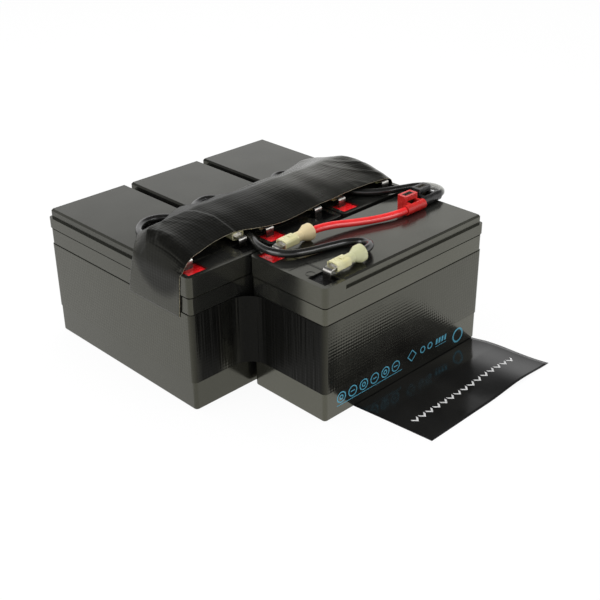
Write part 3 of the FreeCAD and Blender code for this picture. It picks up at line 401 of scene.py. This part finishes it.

# ---------------------------------------------------------------- poles
# A tinned brass tab stands in each corner well, which is filled with epoxy: red
# round the positive tab and black round the negative one.  Each tab's colour is
# darkened towards its foot: painted shade and painted reflection of the dark well.
poles = ("positive", "negative")
tin_bright = (0.72, 0.71, 0.68)
tin_dull = (0.52, 0.50, 0.46)
# painted shade: the colour a tab darkens to at its foot, for the dark well it mirrors
foot_shade = (0.10, 0.095, 0.085)
foot_low, foot_high = 0.0945, 0.0978
tin, tin_tree, tin_shader = new_material("tinned_brass")
foot_shade_mix = tin_tree.nodes.new("ShaderNodeMix")
foot_shade_mix.data_type = "RGBA"
foot_shade_mix.inputs["A"].default_value = (*foot_shade, 1)
tin_tree.links.new(along_axis(tin_tree, "Z", foot_low, foot_high), foot_shade_mix.inputs["Factor"])
tin_tree.links.new(blend_colours(tin_tree, spread(tin_tree, 500, 4, 0, 1),
                                 tin_bright, tin_dull), foot_shade_mix.inputs["B"])
tin_tree.links.new(foot_shade_mix.outputs["Result"], tin_shader.inputs["Base Color"])
tin_shader.inputs["Metallic"].default_value = 1.0
tin_tree.links.new(spread(tin_tree, 900, 4, 0.22, 0.42, (1, 5, 1)),
                   tin_shader.inputs["Roughness"])
emboss(tin_tree, tin_shader, spread(tin_tree, 1500, 2, 0, 1), 0.00005, 0.5)


def rippled(name, colour, deep, index=1.50):
    """Poured resin or moulded nylon: smooth and glossy, with a slow ripple."""
    material, tree, shader = new_material(name)
    shader.inputs["IOR"].default_value = index
    tree.links.new(blend_colours(tree, spread(tree, 240, 3, 0, 1), colour, deep),
                   shader.inputs["Base Color"])
    tree.links.new(spread(tree, 300, 3, 0.16, 0.36), shader.inputs["Roughness"])
    emboss(tree, shader, spread(tree, 160, 3, 0, 1), 0.0004, 0.6)
    return material


red_resin = rippled("red_resin", (0.74, 0.014, 0.018), (0.60, 0.009, 0.013))
black_resin = rippled("black_resin", (0.002, 0.002, 0.002), (0.004, 0.004, 0.004), 1.18)
for battery in batteries:
    for pole in poles:
        finish_solid("%s_%s_tab" % (battery, pole), tin)
    finish_solid(battery + "_positive_seal", red_resin)
    finish_solid(battery + "_negative_seal", black_resin)
finish_solid("faston_contacts", tin)

# ---------------------------------------------------------------- push-on connectors
# Fully insulated receptacles for 10 to 12 gauge wire: pale yellow, clear nylon
# over a tinned contact, with a flat sleeve, a waist and a bell for the wire.  The
# front battery's two bells take on some of the colour of the wire inside.
sleeve_pale = (0.74, 0.71, 0.45)
sleeve_deep = (0.66, 0.62, 0.34)
bell_from, bell_full = -0.0250, -0.0205


def clear_nylon(name, through_bell):
    """Milky yellow nylon; the wire shows faintly through the bell."""
    material, tree, shader = new_material(name)
    bell = tree.nodes.new("ShaderNodeMix")
    bell.data_type = "RGBA"
    bell.inputs["B"].default_value = (*through_bell, 1)
    tree.links.new(along_axis(tree, "X", bell_from, bell_full), bell.inputs["Factor"])
    tree.links.new(blend_colours(tree, spread(tree, 130, 1, 0, 1), sleeve_pale, sleeve_deep),
                   bell.inputs["A"])
    tree.links.new(bell.outputs["Result"], shader.inputs["Base Color"])
    shader.inputs["Transmission Weight"].default_value = 0.30
    shader.inputs["IOR"].default_value = 1.40
    tree.links.new(spread(tree, 160, 1, 0.20, 0.28), shader.inputs["Roughness"])
    return material


red_wire_nylon = clear_nylon("yellow_nylon_on_red", (0.74, 0.62, 0.37))
black_wire_nylon = clear_nylon("yellow_nylon_on_black", (0.60, 0.60, 0.37))
row_nylon = clear_nylon("yellow_nylon", (0.80, 0.77, 0.38))
for battery in batteries:
    for pole in poles:
        finish_solid("%s_%s_faston" % (battery, pole), row_nylon)
finish_solid("front_positive_faston", red_wire_nylon)
finish_solid("front_negative_faston", black_wire_nylon)

# ---------------------------------------------------------------- lead connectors
# Right-angle nylon housings on the two output leads, one red and one black, each
# with a latch window in its front and a sleeve round the wire.  The brass
# receptacles deep inside them are coloured far darker than brass: painted shade.
red_nylon = rippled("red_nylon", (0.50, 0.017, 0.014), (0.42, 0.012, 0.010))
black_nylon = rippled("black_nylon", (0.010, 0.010, 0.010), (0.018, 0.018, 0.018))
finish_solid("red_connector", red_nylon)
finish_solid("black_connector", black_nylon)
# painted shade: the brass is coloured nearly black for the shade inside the housings
painted_shade_brass_warm = (0.10, 0.085, 0.06)
painted_shade_brass_dark = (0.06, 0.05, 0.035)
brass, brass_tree, brass_shader = new_material("brass_in_painted_shade")
brass_tree.links.new(blend_colours(brass_tree, spread(brass_tree, 600, 3, 0, 1),
                                   painted_shade_brass_warm, painted_shade_brass_dark),
                     brass_shader.inputs["Base Color"])
brass_shader.inputs["Metallic"].default_value = 1.0
brass_shader.inputs["Roughness"].default_value = 0.5
finish_solid("lead_contacts", brass)

# ---------------------------------------------------------------- tape round the pack
# Black vinyl-coated cloth tape, one turn drawn tight round all four batteries.
# Its weave shows through the vinyl as a grid of about two millimetres.  Where it
# has let go a little, beside the inner corner, it is dull and finely puckered.
weave_pitch = 0.0022
weave_depth = 0.00008
slack_roughness = 0.35
wrap_slack = {
    # places: centre, slack within this radius, tight beyond this one
    "places": (((-0.0519, -0.0780, 0), 0.026, 0.034), ((-0.0860, -0.0500, 0), 0.009, 0.0190),
               ((-0.0560, -0.0470, 0), 0.004, 0.024)),
    "axes": (1, 1, 0), "share": 0.96, "index": 1.14, "pucker": 0.00022}


def weave_height(tree, source, directions):
    """Waves of the cloth's threads across two given directions, added up."""
    waves = []
    for direction in directions:
        dot = tree.nodes.new("ShaderNodeVectorMath")
        dot.operation = "DOT_PRODUCT"
        dot.inputs[1].default_value = [2 * math.pi / weave_pitch * d for d in direction]
        sine = tree.nodes.new("ShaderNodeMath")
        sine.operation = "SINE"
        tree.links.new(source, dot.inputs[0])
        tree.links.new(dot.outputs["Value"], sine.inputs[0])
        waves.append(sine.outputs[0])
    grid = tree.nodes.new("ShaderNodeMath")
    grid.operation = "ADD"
    tree.links.new(waves[0], grid.inputs[0])
    tree.links.new(waves[1], grid.inputs[1])
    return grid.outputs[0]


def nearness(tree, source, places, axes, share):
    """The given share near any of the places, easing to 0 away from them."""
    flat = tree.nodes.new("ShaderNodeVectorMath")
    flat.operation = "MULTIPLY"
    flat.inputs[1].default_value = axes
    tree.links.new(source, flat.inputs[0])
    total = None
    for place, full, gone in places:
        away = tree.nodes.new("ShaderNodeVectorMath")
        away.operation = "DISTANCE"
        away.inputs[1].default_value = place
        near = tree.nodes.new("ShaderNodeMapRange")
        near.interpolation_type = "SMOOTHSTEP"
        near.inputs["From Min"].default_value = gone
        near.inputs["From Max"].default_value = full
        near.inputs["To Max"].default_value = share
        tree.links.new(flat.outputs["Vector"], away.inputs[0])
        tree.links.new(away.outputs["Value"], near.inputs["Value"])
        if total is None:
            total = near.outputs["Result"]
        else:
            larger = tree.nodes.new("ShaderNodeMath")
            larger.operation = "MAXIMUM"
            tree.links.new(total, larger.inputs[0])
            tree.links.new(near.outputs["Result"], larger.inputs[1])
            total = larger.outputs[0]
    return total


def woven(name, colour, worn, laid, directions, gloss, index, weave, slack):
    """Glossy vinyl over a square weave, dull and puckered where it is slack."""
    material, tree, shader = new_material(name)
    coordinates = tree.nodes.new("ShaderNodeTexCoord")
    shader.inputs["IOR"].default_value = index
    # the same painted warm tint of the light on the tape's reflections
    shader.inputs["Specular Tint"].default_value = painted_warm_light_tint
    relief = emboss(tree, shader, weave_height(tree, coordinates.outputs[laid], directions),
                    weave_depth, weave)
    tree.links.new(blend_colours(tree, spread(tree, 90, 4, 0, 1), colour, worn),
                   shader.inputs["Base Color"])
    tree.links.new(spread(tree, 60, 2, *gloss), shader.inputs["Roughness"])
    looseness = nearness(tree, coordinates.outputs["Object"], slack["places"], slack["axes"],
                         slack["share"])
    puckers = tree.nodes.new("ShaderNodeBump")
    puckers.inputs["Distance"].default_value = slack["pucker"]
    tree.links.new(looseness, puckers.inputs["Strength"])
    tree.links.new(spread(tree, 420, 1, 0, 1, (1, 1, 0.03)), puckers.inputs["Height"])
    tree.links.new(relief.outputs["Normal"], puckers.inputs["Normal"])
    tree.links.new(puckers.outputs["Normal"], shader.inputs["Normal"])
    matt = tree.nodes.new("ShaderNodeBsdfPrincipled")
    matt.inputs["Base Color"].default_value = (*colour, 1)
    matt.inputs["Roughness"].default_value = slack_roughness
    matt.inputs["IOR"].default_value = slack["index"]
    tree.links.new(puckers.outputs["Normal"], matt.inputs["Normal"])
    join = tree.nodes.new("ShaderNodeMixShader")
    tree.links.new(looseness, join.inputs[0])
    tree.links.new(shader.outputs[0], join.inputs[1])
    tree.links.new(matt.outputs[0], join.inputs[2])
    tree.links.new(join.outputs[0], tree.nodes["Material Output"].inputs["Surface"])
    return material


wrap_cloth = woven("wrap_cloth", (0.004, 0.004, 0.0036), (0.008, 0.008, 0.0072), "Object",
                   ((1, 1, 0), (0, 0, 1)), (0.12, 0.20), 1.64, 0.20, wrap_slack)
finish_solid("wrap_tape", wrap_cloth)

# ---------------------------------------------------------------- tape over the poles
# Two lengths of the same tape laid over the row's connectors, the second a
# little over the first, and pressed down round the wires.  Both ends are stuck
# down the pack's sides.  The sheet is lofted and then creased.
terminal_slack = {
    # over the bend at its left end, and over the connectors in its left half
    "places": (((-0.0960, -0.0140, 0.0980), 0.020, 0.031),
               ((-0.0400, -0.0120, 0.1020), 0.030, 0.085)),
    "axes": (1, 1, 1), "share": 0.80, "index": 1.16, "pucker": 0.0}
terminal_cloth = woven("terminal_cloth", (0.0045, 0.0045, 0.0040), (0.0085, 0.0085, 0.0078),
                       "UV", ((1, 0, 0), (0, 1, 0)), (0.20, 0.28), 1.55, 0.22, terminal_slack)
tape_thickness = 0.0004
tape_depth = 0.072
steps_between = 9
case_edge = 0.094
tape_ribs = [
    # across, front edge (y, z), crest (y, z), back edge (y, z)
    (-0.0996, -0.0320, 0.0640, -0.0040, 0.0640, 0.0180, 0.0640),
    (-0.0996, -0.0330, 0.0720, -0.0040, 0.0720, 0.0170, 0.0720),
    (-0.0996, -0.0340, 0.0830, -0.0040, 0.0830, 0.0140, 0.0830),
    (-0.0996, -0.0350, 0.0918, -0.0040, 0.0918, 0.0110, 0.0918),
    (-0.0976, -0.0352, 0.0944, -0.0020, 0.0975, 0.0125, 0.0948),
    (-0.0945, -0.0348, 0.0972, 0.0010, 0.1028, 0.0150, 0.0975),
    (-0.0885, -0.0335, 0.1000, 0.0060, 0.1070, 0.0190, 0.1004),
    (-0.0780, -0.0305, 0.1008, 0.0080, 0.1068, 0.0232, 0.0990),
    (-0.0660, -0.0275, 0.1012, 0.0085, 0.1067, 0.0262, 0.0984),
    (-0.0550, -0.0265, 0.1016, 0.0090, 0.1070, 0.0300, 0.0992),
    (-0.0447, -0.0267, 0.1020, 0.0100, 0.1074, 0.0330, 0.1000),
    (-0.0330, -0.0300, 0.1014, 0.0100, 0.1070, 0.0318, 0.0996),
    (-0.0219, -0.0325, 0.1008, 0.0100, 0.1070, 0.0312, 0.0992),
    (-0.0100, -0.0332, 0.1004, 0.0100, 0.1066, 0.0330, 0.0990),
    (0.0000, -0.0324, 0.1004, 0.0100, 0.1064, 0.0385, 0.0950),
    (0.0100, -0.0316, 0.1006, 0.0100, 0.1066, 0.0390, 0.0945),
    (0.0219, -0.0310, 0.1010, 0.0100, 0.1070, 0.0360, 0.0968),
    (0.0330, -0.0305, 0.1010, 0.0100, 0.1066, 0.0325, 0.0988),
    (0.0447, -0.0300, 0.1012, 0.0100, 0.1068, 0.0315, 0.0990),
    (0.0550, -0.0297, 0.1012, 0.0100, 0.1062, 0.0340, 0.0988),
    (0.0660, -0.0298, 0.1012, 0.0100, 0.1058, 0.0375, 0.0986),
    (0.0780, -0.0306, 0.1012, 0.0100, 0.1060, 0.0400, 0.0988),
    (0.0885, -0.0318, 0.1006, 0.0040, 0.1066, 0.0350, 0.0988),
    (0.0945, -0.0300, 0.0976, 0.0010, 0.1030, 0.0280, 0.0975),
    (0.0976, -0.0285, 0.0948, -0.0020, 0.0980, 0.0230, 0.0950),
    (0.0996, -0.0273, 0.0918, -0.0040, 0.0918, 0.0180, 0.0918),
    (0.0996, -0.0273, 0.0830, -0.0040, 0.0830, 0.0175, 0.0830),
    (0.0996, -0.0270, 0.0700, -0.0040, 0.0700, 0.0170, 0.0700),
]
# shares of the way and of the height, front edge to crest and crest to back edge
rise_shape = ((0.00, 0.00), (0.28, 0.48), (0.62, 0.88), (1.00, 1.00))
fall_shape = ((0.22, 0.93), (0.45, 0.66), (0.72, 0.30), (1.00, 0.00))


def rib_points(rib):
    """Eight points on one cut through the tape, from its front edge to its back edge."""
    across, front, front_height, top, top_height, rear, rear_height = rib
    points = [Vector((across, front + s * (top - front),
                      front_height + h * (top_height - front_height))) for s, h in rise_shape]
    points += [Vector((across, top + s * (rear - top),
                       rear_height + h * (top_height - rear_height))) for s, h in fall_shape]
    return points


def smooth(points, steps):
    """Points on a Catmull-Rom line through the given ones."""
    ends = [2 * points[0] - points[1], *points, 2 * points[-1] - points[-2]]
    line = []
    for i in range(1, len(ends) - 2):
        p0, p1, p2, p3 = ends[i - 1:i + 3]
        for k in range(steps):
            t = k / steps
            line.append(0.5 * (2 * p1 + t * (p2 - p0) + t * t * (2 * p0 - 5 * p1 + 4 * p2 - p3)
                               + t ** 3 * (3 * p1 - p0 - 3 * p2 + p3)))
    line.append(points[-1].copy())
    return line


def sheet_mesh(name, rows, mapped):
    """A grid of quads through rows of points, with a flat map in metres."""
    wide = len(rows[0])
    mesh = bpy.data.meshes.new(name)
    faces = [(i * wide + j, i * wide + j + 1, (i + 1) * wide + j + 1, (i + 1) * wide + j)
             for i in range(len(rows) - 1) for j in range(wide - 1)]
    mesh.from_pydata([p for row in rows for p in row], [], faces)
    layer = mesh.uv_layers.new(name="laid_flat")
    for polygon in mesh.polygons:
        for loop in polygon.loop_indices:
            corner = mesh.loops[loop].vertex_index
            layer.data[loop].uv = mapped(corner // wide, corner % wide)
        polygon.use_smooth = True
    piece = bpy.data.objects.new(name, mesh)
    bpy.context.scene.collection.objects.link(piece)
    return piece


ribs = [rib_points(rib) for rib in tape_ribs]
columns = [smooth(list(line), steps_between) for line in zip(*ribs)]
tape_rows = [smooth(list(row), steps_between) for row in zip(*columns)]
travel = [0.0]
for before, after in zip(tape_rows, tape_rows[1:]):
    middle_of_row = len(before) // 2
    travel.append(travel[-1] + (after[middle_of_row] - before[middle_of_row]).length)
depth_steps = len(tape_rows[0]) - 1
wave_height = 0.0004
fold_height = 0.0016
fold_width = 0.22
grain_height = 0.00005
calm_reach = 0.045
end_reach = 0.05


def crumple(point):
    """How far a pressed tape stands off its line: slow waves and sharp small folds."""
    slow = noise.noise(point * 45) * wave_height
    at_ends = max(0.0, abs(point.x) - calm_reach) / end_reach
    folds = abs(noise.noise(Vector((point.x * 85 + point.y * 50, point.y * 35, 3.7))))
    fold = fold_height * at_ends * max(0.0, fold_width - folds)
    return slow + fold + noise.noise(point * 300) * grain_height


patch_rise = 0.0005
patch_bevel = 0.0010
patch_edge = ((-0.0935, -0.0060), (-0.0850, 0.0040), (-0.0740, 0.0130), (-0.0650, 0.0165),
              (-0.0575, 0.0150), (-0.0515, 0.0080), (-0.0480, -0.0050), (-0.0470, -0.0400))


def patch_reach(x, y):
    """How far inside the second layer's round end a point lies."""
    for (x0, y0), (x1, y1) in zip(patch_edge, patch_edge[1:]):
        if x0 <= x <= x1:
            return (y0 + (y1 - y0) * (x - x0) / (x1 - x0)) - y
    return -1.0


for row in tape_rows:
    for point in row:
        if point.z > case_edge:
            inside = patch_reach(point.x, point.y)
            point.z += crumple(point) + patch_rise * min(1.0, max(0.0, inside / patch_bevel))
        else:
            point.x += math.copysign(0.1 * crumple(point), point.x)
terminal_sheet = sheet_mesh("terminal_tape_sheet", tape_rows,
                            lambda i, j: (travel[i], j / depth_steps * tape_depth))
shell = terminal_sheet.modifiers.new("thickness", "SOLIDIFY")
shell.thickness = tape_thickness
shell.offset = 1.0
shell.material_offset_rim = 1
cut_edge, cut_tree, cut_shader = new_material("cut_cloth_edge")
cut_tree.links.new(blend_colours(cut_tree, spread(cut_tree, 700, 3, 0, 1),
                                 (0.42, 0.38, 0.27), (0.16, 0.14, 0.10)),
                   cut_shader.inputs["Base Color"])
cut_shader.inputs["Roughness"].default_value = 0.6
terminal_sheet.data.materials.append(terminal_cloth)
terminal_sheet.data.materials.append(cut_edge)
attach(terminal_sheet, "root")
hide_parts("terminal_tape")

# ---------------------------------------------------------------- pull tab
# Glossy polyester film stuck under the pack; its free end lies out on the floor
# and is pulled to slide the cartridge from its bay.
film, film_tree, film_shader = new_material("black_film")
film_tree.links.new(blend_colours(film_tree, spread(film_tree, 40, 4, 0, 1),
                                  (0.006, 0.006, 0.006), (0.010, 0.010, 0.010)),
                    film_shader.inputs["Base Color"])
film_tree.links.new(spread(film_tree, 60, 2, 0.12, 0.22), film_shader.inputs["Roughness"])
film_shader.inputs["IOR"].default_value = 1.64
emboss(film_tree, film_shader, spread(film_tree, 26, 1, 0, 1), 0.0004, 0.08)
film_thickness = 0.00022
film_steps_across = 48
film_steps_out = 30
film_steps_under = 10
hump_height = 0.0017
hump_from = 0.45
ripple_height = 0.0002
edge_sway = 0.0013
free_lift = 0.00005
stuck_lift = 0.00002
film_ends = ((-0.0196, -0.1667), (0.1054, -0.1657))
film_sides = ((-0.0247, -0.1083), (0.0961, -0.1082))
film_back = 0.0563
film_rows = []
for i in range(film_steps_out + film_steps_under + 1):
    out = 1 - i / film_steps_out
    row = []
    for j in range(film_steps_across + 1):
        side = j / film_steps_across
        if out >= 0:
            near = Vector(film_sides[0]).lerp(Vector(film_sides[1]), side)
            far = Vector(film_ends[0]).lerp(Vector(film_ends[1]), side)
            x, y = near.lerp(far, out)
            x += side ** 6 * edge_sway * math.sin(out * math.pi * 1.6 + 0.5) * min(1, 6 * out)
            free = min(1.0, 3 * out)
            over_hump = max(0.0, side - hump_from) / (1 - hump_from)
            hump = hump_height * math.sin(math.pi * over_hump) ** 2
            ripple = ripple_height * (1 + noise.noise(Vector((x * 18, y * 18, 1.3))))
            z = free_lift + free * (hump + ripple)
        else:
            x = film_sides[0][0] + side * (film_sides[1][0] - film_sides[0][0])
            under = -out * film_steps_out / film_steps_under
            y = film_sides[0][1] + under * (film_back - film_sides[0][1])
            z = stuck_lift
        row.append(Vector((x, y, z)))
    film_rows.append(row)
tab_sheet = sheet_mesh("pull_tab_film", film_rows,
                       lambda i, j: (film_rows[i][j].x, film_rows[i][j].y))
tab_shell = tab_sheet.modifiers.new("thickness", "SOLIDIFY")
tab_shell.thickness = film_thickness
tab_shell.offset = 1.0
tab_sheet.data.materials.append(film)
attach(tab_sheet, "root")
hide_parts("pull_tab")

# ---------------------------------------------------------------- printing
# Pad-printed pale blue marks low on the front battery and a row of white arrows
# on the film that show which way to pull.  They are thin ink on the surface.


def ink(name, colour, worn):
    """Opaque printing ink, patchy where the pad left it thin."""
    material, tree, shader = new_material(name)
    tree.links.new(blend_colours(tree, spread(tree, 1500, 3, 0, 1), colour, worn),
                   shader.inputs["Base Color"])
    tree.links.new(spread(tree, 800, 2, 0.45, 0.65), shader.inputs["Roughness"])
    return material


def ring(centre, radius, stroke, corners=28, turn=0.0):
    """Outer and inner outline points of a closed mark, and the faces between them."""
    points = []
    for reach in (radius, radius - stroke):
        for k in range(corners):
            angle = turn + 2 * math.pi * k / corners
            points.append((centre[0] + reach * math.cos(angle),
                           centre[1] + reach * math.sin(angle)))
    faces = [(k, (k + 1) % corners, corners + (k + 1) % corners, corners + k)
             for k in range(corners)]
    return points, faces


def bar(left, low, wide, high, lean=0.0):
    """A straight stroke, leaning sideways if it is asked to."""
    return ([(left, low), (left + wide, low), (left + wide + lean, low + high),
             (left + lean, low + high)], [(0, 1, 2, 3)])


def print_marks(name, marks, place, material):
    """Lay flat marks on a surface as one thin piece."""
    points, faces = [], []
    for mark_points, mark_faces in marks:
        start = len(points)
        points += [place(*p) for p in mark_points]
        faces += [tuple(start + k for k in face) for face in mark_faces]
    mesh = bpy.data.meshes.new(name)
    mesh.from_pydata(points, [], faces)
    piece = bpy.data.objects.new(name, mesh)
    bpy.context.scene.collection.objects.link(piece)
    mesh.materials.append(material)
    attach(piece, "root")
    return piece


blue_ink = ink("blue_ink", (0.085, 0.36, 0.50), (0.050, 0.24, 0.34))
white_ink = ink("white_ink", (0.70, 0.70, 0.70), (0.50, 0.50, 0.50))
front_face = -0.10803
ink_rise = 0.00012
face_marks = []
for k in range(6):   # six rings, each with a ring or a bar in it
    centre = (-0.0366 + 0.0102 * k, 0.0125)
    face_marks.append(ring(centre, 0.0040, 0.0008))
    face_marks.append(bar(centre[0] - 0.0018, centre[1] - 0.0004, 0.0036, 0.0008)
                      if k % 2 else ring(centre, 0.0018, 0.0008))
# a line under them, a square on its point, two small rings, four leaning strokes
# with a line under them, and a ring at the right
face_marks.append(bar(-0.0405, 0.0070, 0.0612, 0.0005))
face_marks.append(ring((0.0305, 0.0135), 0.0046, 0.0009, 4))
face_marks += [ring((0.0415 + 0.0075 * k, 0.0135), 0.0026, 0.0008, 20) for k in range(2)]
face_marks += [bar(0.0550 + 0.0030 * k, 0.0115, 0.0018, 0.0040, 0.0006) for k in range(4)]
face_marks.append(bar(0.0550, 0.0095, 0.0115, 0.0004))
face_marks.append(ring((0.0790, 0.0092), 0.0056, 0.0013))
print_marks("blue_marks", face_marks, lambda x, z: (x, front_face, z), blue_ink)

arrow_count = 15
arrow_first = -0.0095
arrow_pitch = 0.0070
arrow_half = 0.0027
arrows = []
for k in range(arrow_count):
    tip = arrow_first + arrow_pitch * k
    arrows.append(([(tip, -0.1480), (tip + arrow_half, -0.1452), (tip + arrow_half, -0.1434),
                    (tip, -0.1462), (tip - arrow_half, -0.1434), (tip - arrow_half, -0.1452)],
                   [(0, 1, 2, 3), (0, 3, 4, 5)]))


def on_film(x, y):
    """A point just above the film."""
    nearest = min((p for row in film_rows[:film_steps_out + 1] for p in row),
                  key=lambda p: (p.x - x) ** 2 + (p.y - y) ** 2)
    return (x, y, nearest.z + film_thickness + ink_rise)


print_marks("white_arrows", arrows, on_film, white_ink)

# ---------------------------------------------------------------- mould marks
# Each lid carries the marks of its mould beside the poles: an ejector ring, the
# gate's dot and the fine line that runs to it from the end.
mark_rise = 0.00012
lid_top = 0.09325
mould_marks = [
    ring((0.0085, 0.0445), 0.0031, 0.0005, 40),   # the ejector
    bar(0.0020, 0.0323, 0.0150, 0.0004),          # the line in from the end
    bar(0.0166, 0.0180, 0.0004, 0.0290),          # the line across it
    ring((0.0168, 0.0325), 0.0012, 0.0011, 20)]   # the gate
pole_ends = {
    # corner of the end at the poles, way in along the lid, way across the lid
    "left": ((-0.0991, -0.0423), (0, 1), (1, 0)),
    "middle": ((-0.0325, -0.0423), (0, 1), (1, 0)),
    "right": ((0.0341, -0.0423), (0, 1), (1, 0)),
    "front": ((-0.0519, -0.0437), (1, 0), (0, -1)),
}
for battery, (corner, inward, sideways) in pole_ends.items():
    def on_lid(along, across, corner=corner, inward=inward, sideways=sideways):
        return (corner[0] + along * inward[0] + across * sideways[0],
                corner[1] + along * inward[1] + across * sideways[1], lid_top + mark_rise)
    piece = print_marks(battery + "_mould_marks", mould_marks, on_lid, lid_plastic)
    if battery != "front":
        piece.data.flip_normals()
    raised = piece.modifiers.new("rise", "SOLIDIFY")
    raised.thickness = mark_rise
    raised.offset = -1.0
